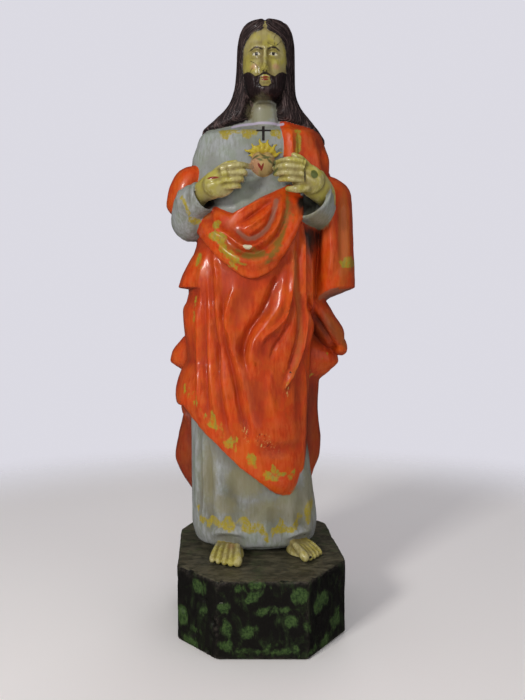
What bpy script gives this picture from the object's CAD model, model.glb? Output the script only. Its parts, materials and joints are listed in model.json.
"""A painted wooden statue on its plinth: the carved figure, the plinth, the floor and the lights.

Sizes are in millimetres and heights are measured up from the foot of each piece, until it is
finished. Then its mesh is put into metres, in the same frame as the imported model.
"""
import json
import math

import bpy
import numpy as np
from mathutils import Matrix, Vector, noise
from mathutils.bvhtree import BVHTree

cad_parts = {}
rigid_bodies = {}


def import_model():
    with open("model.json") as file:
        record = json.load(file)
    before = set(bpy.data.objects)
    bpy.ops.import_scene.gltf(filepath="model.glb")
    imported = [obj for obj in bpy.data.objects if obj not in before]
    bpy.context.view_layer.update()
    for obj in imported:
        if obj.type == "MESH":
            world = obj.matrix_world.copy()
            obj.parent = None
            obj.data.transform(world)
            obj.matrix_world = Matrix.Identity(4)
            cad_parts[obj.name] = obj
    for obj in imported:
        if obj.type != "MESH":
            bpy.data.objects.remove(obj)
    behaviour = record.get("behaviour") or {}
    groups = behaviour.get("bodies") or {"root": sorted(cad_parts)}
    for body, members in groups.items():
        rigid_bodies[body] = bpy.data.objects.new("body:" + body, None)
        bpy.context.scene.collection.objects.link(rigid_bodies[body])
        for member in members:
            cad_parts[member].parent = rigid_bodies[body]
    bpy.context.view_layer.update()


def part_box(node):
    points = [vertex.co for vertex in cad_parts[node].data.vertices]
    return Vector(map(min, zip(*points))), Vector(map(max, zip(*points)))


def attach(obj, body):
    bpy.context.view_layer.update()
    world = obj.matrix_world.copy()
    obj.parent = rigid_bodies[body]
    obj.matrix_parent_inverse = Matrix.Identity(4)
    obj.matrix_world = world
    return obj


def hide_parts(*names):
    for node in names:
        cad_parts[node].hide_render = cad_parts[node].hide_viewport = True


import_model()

# Where the statue is seen from and how far down the camera looks, and the photo's middle and focal
# length in pixels. That length is the photo's height, so the lens and the sensor have one size.
CAMERA_PLACE = (3.6, -552, 244.8)
CAMERA_TILT = math.radians(3.107)
PHOTO_MIDDLE = (262.5, 350)
FOCUS = 700
SENSOR = 36

camera_data = bpy.data.cameras.new("camera")
camera_data.lens = SENSOR
camera_data.sensor_width = SENSOR
camera_data.clip_start = 0.01
camera = bpy.data.objects.new("camera", camera_data)
camera.location = [v / 1000 for v in CAMERA_PLACE]
camera.rotation_euler = (math.radians(90) - CAMERA_TILT, 0, 0)
bpy.context.scene.collection.objects.link(camera)
bpy.context.scene.camera = camera

# Sizes of the plinth, and the height over the floor of the figure's foot, as the frame has them
plinth_low, plinth_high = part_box("plinth")
PLINTH_WIDTH, PLINTH_DEPTH, PLINTH_HEIGHT = (
    round(1000 * (high - low), 1) for low, high in zip(plinth_low, plinth_high))
FIGURE_FOOT = round(1000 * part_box("figure")[0][2], 1)
GRAIN = 0.6
FIGURE_FACES = 190000
# How far cloth that doesn't show lies under the rest, and how much deeper it goes above the collar
UNDER_DEPTH = 2.6
COLLAR_DEPTH = 6
COLLAR_HEIGHT = 316
CAPE_INSET = 6
# How far the edges of cloth and hair are rolled down, over how much of their width, and how deep the
# hair goes beyond its edge
CLOTH_ROLL = (1.5, 3.2)
HAIR_ROLL = (1.6, 3.5)
HAIR_DEPTH = 8
# About the way round the body, the hair and the face, which sets how many columns their grids have
BODY_ROUND = 340
HAIR_ROUND = 190
FACE_ROUND = 120
# How far from its ends a fold still rises
FOLD_FADE = 20
# Value of a mark where there is none. Distances from a part: up to which a point is carved with it,
# and up to which it has its dirt and its thin marks
NO_MARK = -6
ON_PART = 0.5
DIRT_REACH = 0.6
PAINT_REACH = 0.8

# Cross sections of the body and the clothes: height, left, right, front, back
TUNIC = [
    (0, -44, 39, -8, 52), (3.5, -44, 39, -8, 52), (4.5, -50, 45, -18, 58), (9, -52, 47, -21, 60),
    (19, -54, 48, -22, 60), (43, -54, 45, -24, 58), (100, -54, 37, -26, 56), (125, -46, 32, -18, 48),
    (235, -38, 38, -13, 44), (262, -46, 48, -22, 46), (278, -49, 52, -19, 47), (293, -52, 55, -11.5, 48),
    (307, -53, 54.5, -6, 47), (319, -49.5, 51, -4, 45), (327, -46.5, 48, -2, 42), (332, -41, 43, 4, 39),
    (339, -24, 30, 7, 35), (343, -10, 20, 9, 31),
]
MANTLE = [
    (40, -50, 38, -28, 62), (60, -54.5, 38.7, -31, 62), (80, -57, 39.5, -32, 61), (100, -60, 40, -32, 61),
    (107.5, -63, 40.3, -31, 60), (114, -65.5, 40.5, -31, 60), (122, -66.5, 41, -30.5, 60),
    (141, -62, 41.5, -29.5, 60), (150, -57, 42, -29, 60), (183, -60, 44, -28, 58),
    (189, -60, 44, -28, 58), (197, -57, 45, -28, 58), (204, -55.5, 46, -29, 57),
    (212, -55.5, 46, -29, 57), (228, -53, 47, -28, 56), (241, -49, 48, -26, 55), (262, -48, 50, -21, 54),
    (275, -50, 55, -17, 53), (307, -53, 57.5, -9, 51), (319, -51, 54, -7, 49), (327, -48, 51, -6, 47),
    (332, -43, 47, 0, 44), (337, -34, 41, 3, 40),
]
CAPE = [
    (30, -53, 36, 30, 60), (38, -58, 42, 26, 63), (54, -67, 48, 22, 65), (66, -71, 52, 20, 65),
    (80, -68.5, 53, 19, 65), (108, -62, 50.5, 18, 64), (130, -58, 51.5, 17, 64), (138, -63, 60, 14, 64),
    (147, -74, 67.5, 14, 64), (153, -73, 66, 14, 64), (165, -64.5, 57, 16, 63), (174, -56, 53, 17, 62),
    (240, -50, 50, 18, 59), (300, -48, 50, 22, 54), (318, -40, 42, 24, 46),
]
ARM_FOLD = [
    (193, 40, 50, 14, 44), (196, 40, 55, 10, 48), (199.5, 40, 60, 6, 51), (204, 40, 71, 1, 54),
    (208, 40, 79.5, -2, 56), (222, 40, 79, -3, 56), (254, 40, 77.5, -3, 56), (281, 40, 76, -2, 54),
    (288, 42, 73, 2, 50), (294, 46, 66, 9, 42), (297, 51, 60, 17, 34),
]
ARM_ROLL = [
    (264, -66, -54, 14, 30), (267, -71, -48, 7, 37), (273, -74, -43, 2, 41), (284, -72.5, -39, 0, 43),
    (294, -68.5, -37, 1, 43), (300, -64, -37, 4, 40), (303, -59, -41, 9, 35), (304.5, -55, -47, 17, 29),
]
HAIR = [
    (306, -10, 20, 34, 48), (314, -22, 32, 20, 51), (325, -36, 55, 8, 52), (331.5, -45.5, 50.5, 0, 50),
    (340, -36.5, 43, -3, 48), (348, -27.5, 36, -4, 47), (354, -23, 32.5, -4, 45),
    (360, -20.5, 30.5, -4, 44), (368, -18.5, 29.7, -4, 43), (381, -17.3, 29.5, -5, 43),
    (395, -16.6, 29.2, -7, 43), (404, -15, 27.8, -8.5, 41.5), (410, -12.3, 25.2, -6.5, 39),
    (414.5, -8, 21.5, 3, 36), (417.8, -3, 16, 11, 31), (419, 2, 10, 15, 26),
]
FACE = [
    (322, -9, 20, 0, 34), (337, -8.5, 19.5, 2, 33), (349, -8, 19, 3, 32), (350.5, -3, 14, -4, 32),
    (353.5, -6.5, 17.5, -8.5, 32), (358.5, -9.5, 20.5, -10.5, 32), (364, -11, 22, -10.5, 32),
    (371, -12, 23, -10, 32), (380, -12.5, 23.5, -9.5, 32), (390, -12.5, 23.5, -9, 32),
    (398, -11.5, 22.5, -8, 32), (406, -9, 20, -6, 32), (412, -4, 15, 2, 28),
]
BODY_FULLNESS = 2.3
CAPE_FULLNESS = 2.6
FOLD_FULLNESS = 1.8
HEAD_FULLNESS = 2.1

# Outlines of the clothes and the hair, in the front view: x and height
MANTLE_EDGE = [
    (-90, 112), (-59, 114), (-45, 98), (-29, 84), (-14, 70), (2, 58), (13, 49), (25, 45), (33, 47),
    (37.5, 56), (39, 66), (90, 66), (90, 350), (19, 350), (20, 334), (22, 319), (21.5, 300), (19, 285),
    (13, 282), (4, 277), (-10, 270), (-19, 264), (-27, 268), (-34, 272), (-45, 262), (-90, 262),
]
MANTLE_BACK_EDGE = [(-90, 20), (90, 20), (90, 345), (12, 345), (-55, 303), (-90, 290)]
OVERFOLD_EDGE = [
    (-52, 262), (-46, 250), (-40, 242), (-33, 233), (-27, 226), (-22, 222), (-16, 217), (-10, 213),
    (-4, 211.5), (0, 212.5), (7, 216), (13, 221), (19, 230), (24, 240), (28, 250), (31.5, 262), (33, 275),
    (24, 284.5), (13, 279), (2, 273), (-10, 265.5), (-18.5, 261.2), (-26, 264.5), (-34, 270),
]
HAIR_EDGE = [
    (-70, 440), (-70, 331), (-45, 331), (-35, 330.5), (-26, 333.5), (-15.5, 337.5), (-12, 341),
    (-10.5, 348), (-10, 360), (-10.4, 374), (-10.8, 386), (-9.5, 392.5), (-4, 397.5), (2.5, 400.5),
    (5.5, 403), (8.5, 400.5), (15, 397.5), (20.5, 392.5), (21.8, 386), (21, 374), (20, 360), (19.5, 348),
    (19, 342), (21, 337.5), (28, 335), (38, 332), (47, 326.5), (54, 324), (70, 324), (70, 440),
]
HAIR_BACK_EDGE = [
    (-70, 440), (-70, 331), (-42, 327), (-20, 315), (4, 307), (30, 314), (48, 322), (70, 324), (70, 440),
]
MANTLE_TURN = 25
HAIR_TURN = 20
OVERFOLD_FOOT = 205
OVERFOLD_THICKNESS = 4.5

# Folds: how far each is raised (or cut, below zero), how far it spreads to the left and to the
# right of its line, how sharp its crest is from 0 to 1, and its line of x and height.
# A line is followed downwards or, where it lies across, from left to right.
MANTLE_FOLDS = [
    (2.8, 3.5, 3, 0.7, [(-33.3, 239), (-32.5, 228), (-30.3, 218.7), (-29.6, 208.4), (-30.4, 202.4),
        (-29.7, 190.5), (-28.2, 181.5), (-26, 171), (-23.8, 158)]),
    (2.2, 4, 3.5, 0.5, [(-38.5, 240), (-41, 226), (-42.5, 212), (-42, 198), (-43, 184)]),
    (-2.8, 2.6, 2.6, 0.4, [(-36, 231), (-35.8, 215), (-35, 198), (-33.5, 180), (-31, 160), (-29, 138)]),
    (3.6, 3, 7.5, 0.8, [(-17, 212), (-18.4, 204), (-21.4, 193.5), (-23.6, 183), (-22.9, 175.6),
        (-20.7, 171), (-19.5, 160.6), (-14.8, 148.6), (-11.8, 135), (-9.4, 123), (-5, 106), (1, 84)]),
    (-3, 2.8, 2.8, 0.4, [(-25, 205), (-27, 190), (-26.5, 176), (-24, 160), (-20, 146), (-16.5, 130),
        (-13, 112), (-8, 92)]),
    (2.2, 3, 3, 0.5, [(-46, 200), (-45.5, 170), (-45, 136), (-44.5, 114), (-42, 100)]),
    (2, 3, 3.5, 0.6, [(-37.5, 182), (-36.5, 160), (-35.8, 144), (-33.6, 126), (-31.7, 112), (-28, 94)]),
    (-2.6, 3, 3, 0.3, [(-40.8, 216), (-40.6, 190), (-40.4, 165), (-39.5, 132), (-37, 104)]),
    (-2.2, 3, 3, 0.3, [(-29.5, 172), (-30, 145), (-26.5, 116), (-21, 90)]),
    (1.6, 3, 4, 0.4, [(-25, 138), (-22, 116), (-16, 88)]),
    (-5.4, 7, 4.5, 0.35, [(19.8, 226), (16.5, 213), (13, 205), (5.6, 188), (-3.4, 177), (-8.6, 167),
        (-11, 156), (-10, 142)]),
    (3.4, 4.5, 9, 0.3, [(24, 212), (19, 199), (12, 186), (4, 175), (-3, 165), (-5, 150), (-2, 130)]),
    (3.4, 3, 3.5, 0.8, [(25.2, 240), (26.2, 218.6), (24, 203.8), (21.1, 186), (15.5, 178), (9.2, 172.6),
        (4, 168), (0, 158)]),
    (-2.8, 2.6, 2.6, 0.5, [(28.3, 235), (28, 215), (27.4, 200), (25.2, 185), (20, 171), (12.5, 160),
        (8, 145)]),
    (-2.6, 2.8, 2.4, 0.3, [(31, 247), (30.4, 222), (30.6, 200), (32.3, 186), (31, 168), (25.5, 149),
        (19, 133)]),
    (3.8, 2.6, 3.2, 0.8, [(32.5, 262), (34, 240), (33.8, 207), (35.6, 195), (36.4, 183), (34.2, 165),
        (29.5, 149), (23.5, 137), (18, 124)]),
    (-3, 2.2, 2.6, 0.5, [(37.2, 255), (37.2, 232), (37.3, 207), (39, 192), (39.2, 178), (38, 160),
        (36, 150)]),
    (2.4, 2, 3, 0.7, [(40.2, 240), (40.6, 222), (40.4, 206), (41.5, 192), (42, 176), (41, 158)]),
    (1.4, 3, 3, 0.7, [(21.5, 150), (24.5, 139), (23.5, 128)]),
    (-1.4, 2, 2, 0.7, [(27, 143), (25, 134), (21, 124)]),
    (-2.6, 9, 7, 0, [(-4, 90), (6, 86), (16, 84), (28, 84), (40, 86)]),
    (2.4, 8, 7, 0, [(-4, 66), (8, 61), (20, 57), (34, 60)]),
    (1.8, 3, 3, 0.6, [(35.5, 152), (36, 140), (36.6, 119.9), (36, 98), (35.3, 76), (33.8, 52)]),
    (-1.6, 4, 4, 0.2, [(31, 146), (31.5, 122), (31, 100)]),
    (1.6, 5, 5, 0.1, [(8, 148), (9, 126), (12, 104)]),
]
SHOULDER_FOLDS = [
    (2.8, 2.2, 4, 0.6, [(22.5, 338), (24.5, 326), (25.2, 310), (24.6, 296), (23, 284)]),
    (-2.6, 3, 3, 0.4, [(31, 334), (32.5, 322), (33.2, 310), (33.6, 296)]),
    (2.2, 4, 5, 0.3, [(40, 328), (43.5, 314), (46, 300), (47, 286)]),
    (-1.8, 3.5, 3.5, 0.3, [(49, 322), (52, 308), (54, 292)]),
]
SWAG_FOLDS = [
    (4.4, 4, 2.6, 0.35, [(-31, 270), (-28.6, 262), (-25.6, 250.3), (-18.7, 244.4), (-13.1, 239),
        (-7.1, 235.6), (-0.5, 237.5), (6.2, 242.9), (11.4, 251), (15.1, 262.7), (17, 276)]),
    (-3.6, 3, 4, 0.1, [(-20, 254), (-13.2, 246.8), (-5.7, 242.6), (1.2, 246), (7, 252), (11, 261),
        (13, 272)]),
    (3, 3, 3, 0.6, [(-20, 260), (-14.8, 262.4), (-4.3, 267.6), (4, 272), (13, 276)]),
    (-3.8, 2.4, 2.4, 0.6, [(-17, 250.5), (-12, 253.6), (-4.3, 259.4), (3.2, 265.4), (11.5, 272)]),
    (3, 2.6, 2.8, 0.6, [(-13, 246.5), (-8.5, 249.2), (-2.8, 252.6), (4.7, 259.8), (11.6, 268.6)]),
    (4.6, 8, 7, 0.05, [(-40, 262), (-34, 251), (-26, 240.5), (-17, 230), (-7, 224.6), (3, 225.6),
        (12, 233), (21, 246), (27, 262), (29, 276)]),
    (-2, 2.6, 2.6, 0.2, [(-30, 249), (-24, 240.6), (-15, 233.4), (-6, 230.6), (2, 232), (9.4, 238),
        (15.4, 248), (20, 264)]),
    (-1.6, 2, 2.4, 0.3, [(-32, 244), (-24, 232), (-14, 222), (-4, 218)]),
    (1.2, 3, 3, 0.5, [(10, 224), (17, 232), (22, 243)]),
]
TUNIC_FOLDS = [
    (2.8, 2.6, 2.4, 0.6, [(-42, 98), (-41.2, 90), (-40.7, 70), (-40.3, 45), (-42.4, 22), (-43, 8)]),
    (-1.8, 2.4, 2.8, 0.3, [(-37.6, 90), (-36.5, 58), (-36.6, 33), (-37, 12)]),
    (1.6, 2.5, 2.5, 0.5, [(-48, 98), (-47.5, 60), (-48.5, 20)]),
    (-1.4, 2, 2, 0.3, [(-44.8, 96), (-44.4, 50), (-45.5, 14)]),
    (1.3, 4.5, 5, 0.2, [(-31, 78), (-30, 45), (-30, 10)]),
    (-1.6, 6, 6, 0, [(-20, 68), (-19, 40), (-21, 10)]),
    (1.4, 6, 7, 0.1, [(-6, 56), (-4, 30), (-2, 6)]),
    (-1.3, 6, 6, 0, [(12, 46), (12, 26), (12, 6)]),
    (1.2, 5, 5, 0.2, [(24, 46), (26, 28), (27, 6)]),
    (2, 4, 4, 0.4, [(36, 52), (39, 32), (41, 8)]),
    (-0.9, 7, 7, 0, [(-46, 318), (-36, 304), (-30, 288)]),
    (0.8, 7, 7, 0, [(-34, 322), (-24, 306), (-20, 286)]),
    (-0.9, 5, 5, 0, [(-22, 300), (-10, 286), (2, 279)]),
    (5, 4, 5, 0.3, [(-38, 12), (-30, 17), (-21, 18.5), (-12, 17), (-5, 12)]),
    (4.5, 4, 5, 0.3, [(20, 12), (28, 16), (36, 16), (44, 12)]),
]
# Folds behind, in the same view as seen through the statue
BACK_FOLDS = [
    (4.2, 6, 4.5, 0.4, [(34, 318), (30, 270), (24, 220), (18, 160), (14, 100), (12, 28)]),
    (-3.4, 4.5, 4.5, 0.2, [(41, 312), (38, 260), (33, 200), (27, 130), (24, 30)]),
    (3.6, 5, 5, 0.4, [(46, 300), (44, 250), (41, 190), (37, 120), (34, 34)]),
    (-3.6, 5, 5, 0.2, [(24, 316), (18, 265), (11, 210), (5, 150), (0, 90), (-2, 28)]),
    (4, 5.5, 5, 0.4, [(14, 312), (6, 262), (-3, 208), (-10, 150), (-15, 90), (-17, 28)]),
    (-3, 5, 5, 0.2, [(2, 300), (-8, 250), (-18, 196), (-25, 140), (-29, 80), (-30, 30)]),
    (3.8, 5, 5, 0.4, [(-10, 296), (-22, 246), (-32, 190), (-39, 136), (-43, 84), (-44, 34)]),
    (-2.8, 4, 4, 0.2, [(-24, 288), (-34, 244), (-43, 192), (-49, 140), (-53, 88), (-54, 44)]),
    (3.2, 5, 5, 0.3, [(-36, 284), (-45, 240), (-52, 190), (-58, 140), (-61, 90), (-60, 50)]),
]
ARM_FOLD_LINES = [
    (3.4, 9, 6, 0.75, [(57.4, 292), (57.7, 264), (56.4, 251), (57.4, 236), (57.1, 226), (54.6, 214),
        (50, 203)]),
    (-1.8, 4, 4, 0.2, [(47, 270), (46.5, 240), (46, 212)]),
    (1.4, 3, 4, 0.4, [(50.5, 280), (51, 250), (50.4, 222)]),
    (-1.4, 4, 4, 0.2, [(64, 286), (65, 255), (66, 214)]),
    (1.6, 4, 4, 0.4, [(70.5, 284), (71.5, 252), (72.5, 212)]),
]


def deselect():
    if bpy.context.object and bpy.context.object.mode != "OBJECT":
        bpy.ops.object.mode_set(mode="OBJECT")
    bpy.ops.object.select_all(action="DESELECT")


def take(piece):
    """Selects one piece alone and makes it the active one"""
    deselect()
    piece.select_set(True)
    bpy.context.view_layer.objects.active = piece


def edit(piece, step, **values):
    """One step of mesh editing, on the whole of a piece"""
    take(piece)
    bpy.ops.object.mode_set(mode="EDIT")
    bpy.ops.mesh.select_all(action="SELECT")
    step(**values)
    bpy.ops.object.mode_set(mode="OBJECT")


def ease(v):
    v = np.clip(v, 0, 1)
    return v * v * (3 - 2 * v)


def mix(a, b, t):
    return a + (b - a) * t


def between(values, limits):
    return (values > limits[0]) & (values < limits[1])


def read(items, field, parts):
    """One field of many points or edges of a mesh"""
    out = np.empty(len(items) * parts, np.int32 if field == "vertices" else np.float32)
    items.foreach_get(field, out)
    return out.reshape(-1, parts)


def points_of(piece):
    return read(piece.data.vertices, "co", 3).astype(float)


def normals_of(piece):
    return read(piece.data.vertices, "normal", 3).astype(float)


def edges_of(piece):
    return read(piece.data.edges, "vertices", 2)


def set_points(piece, co):
    piece.data.vertices.foreach_set("co", np.ascontiguousarray(co, np.float32).ravel())
    piece.data.update()


def section_at(table, height):
    """The sections of a table at many heights, eased between its rows without overshooting them"""
    table = np.asarray(table, float)
    z, values = table[:, 0], table[:, 1:]
    step = np.diff(z)[:, None]
    slope = np.diff(values, axis=0) / step
    turn = np.zeros_like(values)
    same = slope[:-1] * slope[1:] > 0
    weight_a, weight_b = 2 * step[1:] + step[:-1], step[1:] + 2 * step[:-1]
    safe_a = np.where(same, slope[:-1], 1)
    safe_b = np.where(same, slope[1:], 1)
    mean = (weight_a + weight_b) / (weight_a / safe_a + weight_b / safe_b)
    turn[1:-1] = np.where(same, mean, 0)
    turn[0], turn[-1] = slope[0], slope[-1]
    h = np.clip(height, z[0], z[-1])
    k = np.clip(np.searchsorted(z, h, side="right") - 1, 0, len(z) - 2)
    span = (z[k + 1] - z[k])[:, None]
    t = ((h - z[k])[:, None]) / span
    low, high = values[k], values[k + 1]
    return (
        low * (1 + 2 * t) * (1 - t) ** 2 + turn[k] * span * t * (1 - t) ** 2
        + high * t * t * (3 - 2 * t) + turn[k + 1] * span * t * t * (t - 1)
    )


def on_section(section, angle, fullness):
    """x and y on a rounded section; angle 0 faces the front and a quarter turn faces right"""
    left, right, front, back = section.T
    s = np.sign(np.sin(angle)) * np.abs(np.sin(angle)) ** (2 / fullness)
    c = np.sign(np.cos(angle)) * np.abs(np.cos(angle)) ** (2 / fullness)
    return mix(left, right, (1 + s) / 2), mix(back, front, (1 + c) / 2)


def curve_through(points, parts=5):
    """A smooth line through points of any number of values"""
    p = np.asarray(points, float)
    p = np.vstack([2 * p[0] - p[1], p, 2 * p[-1] - p[-2]])
    t = np.linspace(0, 1, parts, endpoint=False)[:, None]
    out = []
    for a, b, c, d in zip(p[:-3], p[1:-2], p[2:-1], p[3:]):
        out.append(0.5 * (2 * b + (c - a) * t + (2 * a - 5 * b + 4 * c - d) * t ** 2
                          + (3 * b - a - 3 * c + d) * t ** 3))
    return np.vstack(out + [p[-2:-1]])


def from_line(x, z, line):
    """Distance from a line of the front view, the side of it, the way along it in mm and its length"""
    start, run = line[:-1], np.diff(line, axis=0)
    length = np.hypot(run[:, 0], run[:, 1])
    gone = np.concatenate([[0], np.cumsum(length)])
    px, pz = x[:, None] - start[None, :, 0], z[:, None] - start[None, :, 1]
    t = np.clip((px * run[:, 0] + pz * run[:, 1]) / (length ** 2 + 1e-9), 0, 1)
    ex, ez = px - t * run[:, 0], pz - t * run[:, 1]
    k = np.argmin(ex ** 2 + ez ** 2, axis=1)
    row = np.arange(len(x))
    side = np.sign(run[k, 0] * pz[row, k] - run[k, 1] * px[row, k])
    way = gone[k] + t[row, k] * length[k]
    return np.hypot(ex[row, k], ez[row, k]), side, way, gone[-1]


def off_curve(x, z, line):
    """Distance from the smooth line through some points of the front view"""
    return from_line(x, z, curve_through(line))[0]


def folds_at(x, z, folds):
    """Height of a set of folds at many points of the front view"""
    total = np.zeros(len(x))
    for rise, left, right, sharp, line in folds:
        line = curve_through(line)
        reach = max(left, right)
        low, high = line.min(axis=0) - reach, line.max(axis=0) + reach
        some = np.nonzero(between(x, (low[0], high[0])) & between(z, (low[1], high[1])))[0]
        if not len(some):
            continue
        far, side, way, length = from_line(x[some], z[some], line)
        u = np.clip(far / np.where(side > 0, right, left), 0, 1)
        crest = mix((1 - u * u) ** 2, (1 - u) ** 1.7, sharp)
        ends = ease(np.minimum(way, length - way) / min(FOLD_FADE, 0.4 * length) + 0.02)
        total[some] += rise * crest * ends
    return total


def inside(x, z, outline):
    """Distance from an outline of the front view, above zero inside it"""
    line = np.asarray([*outline, outline[0]], float)
    far = from_line(x, z, line)[0]
    ax, az = line[:-1, 0], line[:-1, 1]
    bx, bz = line[1:, 0], line[1:, 1]
    above = (az[None] > z[:, None]) != (bz[None] > z[:, None])
    cross = ax + (z[:, None] - az) * (bx - ax) / np.where(bz == az, 1e-9, bz - az)
    odd = (above & (x[:, None] < cross)).sum(1) % 2 == 1
    return np.where(odd, far, -far)


def covered(x, y, z, front_edge, back_edge, turn):
    """The same for a cloth that has one outline in front and another behind"""
    return np.where(y < turn, inside(x, z, front_edge), inside(x, z, back_edge))


def grid_of(piece, rings):
    """The ring and the angle of each point of a fresh ball"""
    co = points_of(piece)
    ring = np.rint(np.arccos(np.clip(-co[:, 2], -1, 1)) / math.pi * rings).astype(int)
    return ring, np.arctan2(co[:, 0], -co[:, 1])


def ball(name, columns, rings):
    """A fresh ball: a grid rolled up and shut along its seam and at its poles"""
    deselect()
    bpy.ops.mesh.primitive_grid_add(x_subdivisions=columns, y_subdivisions=rings, size=2)
    piece = bpy.context.object
    piece.name = name
    flat = points_of(piece)
    turn, rise = flat[:, 0] * math.pi, (flat[:, 1] + 1) / 2 * math.pi
    set_points(piece, np.column_stack(
        [np.sin(rise) * np.sin(turn), -np.sin(rise) * np.cos(turn), -np.cos(rise)]))
    edit(piece, bpy.ops.mesh.remove_doubles, threshold=1e-5)
    return piece


def turned(name, stations, step, columns, place, crowding=0.0):
    """A closed surface turned about an upright axis; place gives x and y for angles and heights"""
    low, high = stations[0][0], stations[-1][0]
    heights = np.linspace(low, high, max(2, int(round((high - low) / step)) + 1))
    rings = len(heights) + 1
    piece = ball(name, columns, rings)
    ring, angle = grid_of(piece, rings)
    height = heights[np.clip(ring - 1, 0, len(heights) - 1)]
    angle = angle - crowding * np.sin(angle)
    x, y = place(angle, height)
    for end, beside in ((0, 1), (rings, rings - 1)):
        x[ring == end], y[ring == end] = x[ring == beside].mean(), y[ring == beside].mean()
    set_points(piece, np.column_stack([x, y, height]))
    return piece


def skinned(name, way, along, sides):
    """A closed skin over the rings of a path; along gives the way that each ring faces"""
    along = along / np.linalg.norm(along, axis=1)[:, None]
    across = np.cross([0, 1, 0], along)
    across /= np.linalg.norm(across, axis=1)[:, None]
    deep = np.cross(along, across)
    piece = ball(name, sides, len(way) + 1)
    ring, angle = grid_of(piece, len(way) + 1)
    k = np.clip(ring - 1, 0, len(way) - 1)
    size = np.where((ring == 0) | (ring == len(way) + 1), 0, 1)
    co = way[k, :3] + across[k] * (size * np.sin(angle) * way[k, 3])[:, None]
    set_points(piece, co - deep[k] * (size * np.cos(angle) * way[k, 4])[:, None])
    return piece


def limb(name, path, sides, parts):
    """A limb along a path of x, y, height, radius across and radius in depth"""
    way = rounded(curve_through(path, parts))
    return skinned(name, way, np.gradient(way[:, :3], axis=0), sides)


def rounded(way):
    """The end of a path brought round like a dome of the path's own radius"""
    end, before = way[-1], way[-2]
    ahead = end[:3] - before[:3]
    ahead = ahead / np.linalg.norm(ahead)
    rows = []
    for turn in np.linspace(0.15, 0.97, 6) * math.pi / 2:
        middle = end[:3] + ahead * math.sin(turn) * end[3:].mean()
        rows.append(np.concatenate([middle, end[3:] * math.cos(turn)]))
    return np.vstack([way, rows])


def lump(name, middle, half, lean=0.0, columns=40, rings=28):
    piece = ball(name, columns, rings)
    co = points_of(piece) * half
    c, s = math.cos(lean), math.sin(lean)
    x, z = co[:, 0] * c - co[:, 2] * s, co[:, 0] * s + co[:, 2] * c
    set_points(piece, np.column_stack([x, co[:, 1], z]) + middle)
    return piece


def outward(section, x, y):
    """The way out from the middle of a section, as x and y, and how far out a point is"""
    from_x, from_y = x - section[:, :2].mean(1), y - section[:, 2:].mean(1)
    far = np.hypot(from_x, from_y) + 1e-6
    return from_x / far, from_y / far, far


def draped(name, stations, step, fullness, front=(), behind=(), crowding=0.0, columns=None,
           cover=None, under=None, thickness=0.0):
    """Cloth turned round the body, raised by its folds in front and behind.

    cover gives how far a point lies inside the cloth's outline. Outside it the cloth goes under
    the surface of another table, and its edge is rolled.
    """
    def place(angle, height):
        section = section_at(stations, height)
        x, y = on_section(section, angle, fullness)
        out_x, out_y, _ = outward(section, x, y)
        facing = np.cos(angle)
        rise = np.full(len(x), float(thickness))
        rise += ease((facing + 0.12) / 0.4) * folds_at(x, height, front)
        if behind:
            rise += ease((-facing + 0.1) / 0.4) * folds_at(x, height, behind)
        if cover is None:
            return x + out_x * rise, y + out_y * rise
        deep = cover(x, y, height)
        rise -= CLOTH_ROLL[0] * np.clip(1 - deep / CLOTH_ROLL[1], 0, 1) ** 2
        sink = UNDER_DEPTH + COLLAR_DEPTH * ease((height - COLLAR_HEIGHT) / 14)
        ux, uy = on_section(section_at(under, height), angle, fullness)
        ux, uy = ux - out_x * sink, uy - out_y * sink
        show = ease(deep / 0.9 + 0.5)
        return mix(ux, x + out_x * rise, show), mix(uy, y + out_y * rise, show)

    return turned(name, stations, step, columns or int(BODY_ROUND / step), place, crowding)


def tunic():
    return draped("tunic", TUNIC, GRAIN * 1.3, BODY_FULLNESS, TUNIC_FOLDS, crowding=0.3)


def mantle():
    def cover(x, y, z):
        return covered(x, y, z, MANTLE_EDGE, MANTLE_BACK_EDGE, MANTLE_TURN)

    return draped("mantle", MANTLE, GRAIN * 1.2, BODY_FULLNESS, MANTLE_FOLDS + SHOULDER_FOLDS,
                  BACK_FOLDS, crowding=0.3, cover=cover, under=TUNIC)


def overfold():
    def cover(x, y, z):
        return np.where(y < MANTLE_TURN, inside(x, z, OVERFOLD_EDGE), -20.0)

    stations = [row for row in MANTLE if row[0] > OVERFOLD_FOOT]
    return draped("overfold", stations, GRAIN * 1.2, BODY_FULLNESS, SWAG_FOLDS, crowding=0.35,
                  cover=cover, under=TUNIC, thickness=OVERFOLD_THICKNESS)


def cape():
    def cover(x, y, z):
        return inside(x, z, MANTLE_BACK_EDGE)

    under = [(z, left + CAPE_INSET, right - CAPE_INSET, front + CAPE_INSET, back - CAPE_INSET)
             for z, left, right, front, back in CAPE]
    return draped("cape", CAPE, GRAIN * 1.4, CAPE_FULLNESS, behind=BACK_FOLDS, cover=cover,
                  under=under)


def hair():
    """The hair, cut round the face in front and along the shoulders"""
    def place(angle, height):
        section = section_at(HAIR, height)
        x, y = on_section(section, angle, HEAD_FULLNESS)
        deep = covered(x, y, height, HAIR_EDGE, HAIR_BACK_EDGE, HAIR_TURN)
        out_x, out_y, far = outward(section, x, y)
        sink = HAIR_ROLL[0] * np.clip(1 - deep / HAIR_ROLL[1], 0, 1) ** 2
        sink = np.minimum(sink + HAIR_DEPTH * (1 - ease(deep / 1.2 + 0.5)), far * 0.8)
        return x - out_x * sink, y - out_y * sink

    return turned("hair", HAIR, GRAIN * 1.2, int(HAIR_ROUND / GRAIN), place)


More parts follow.
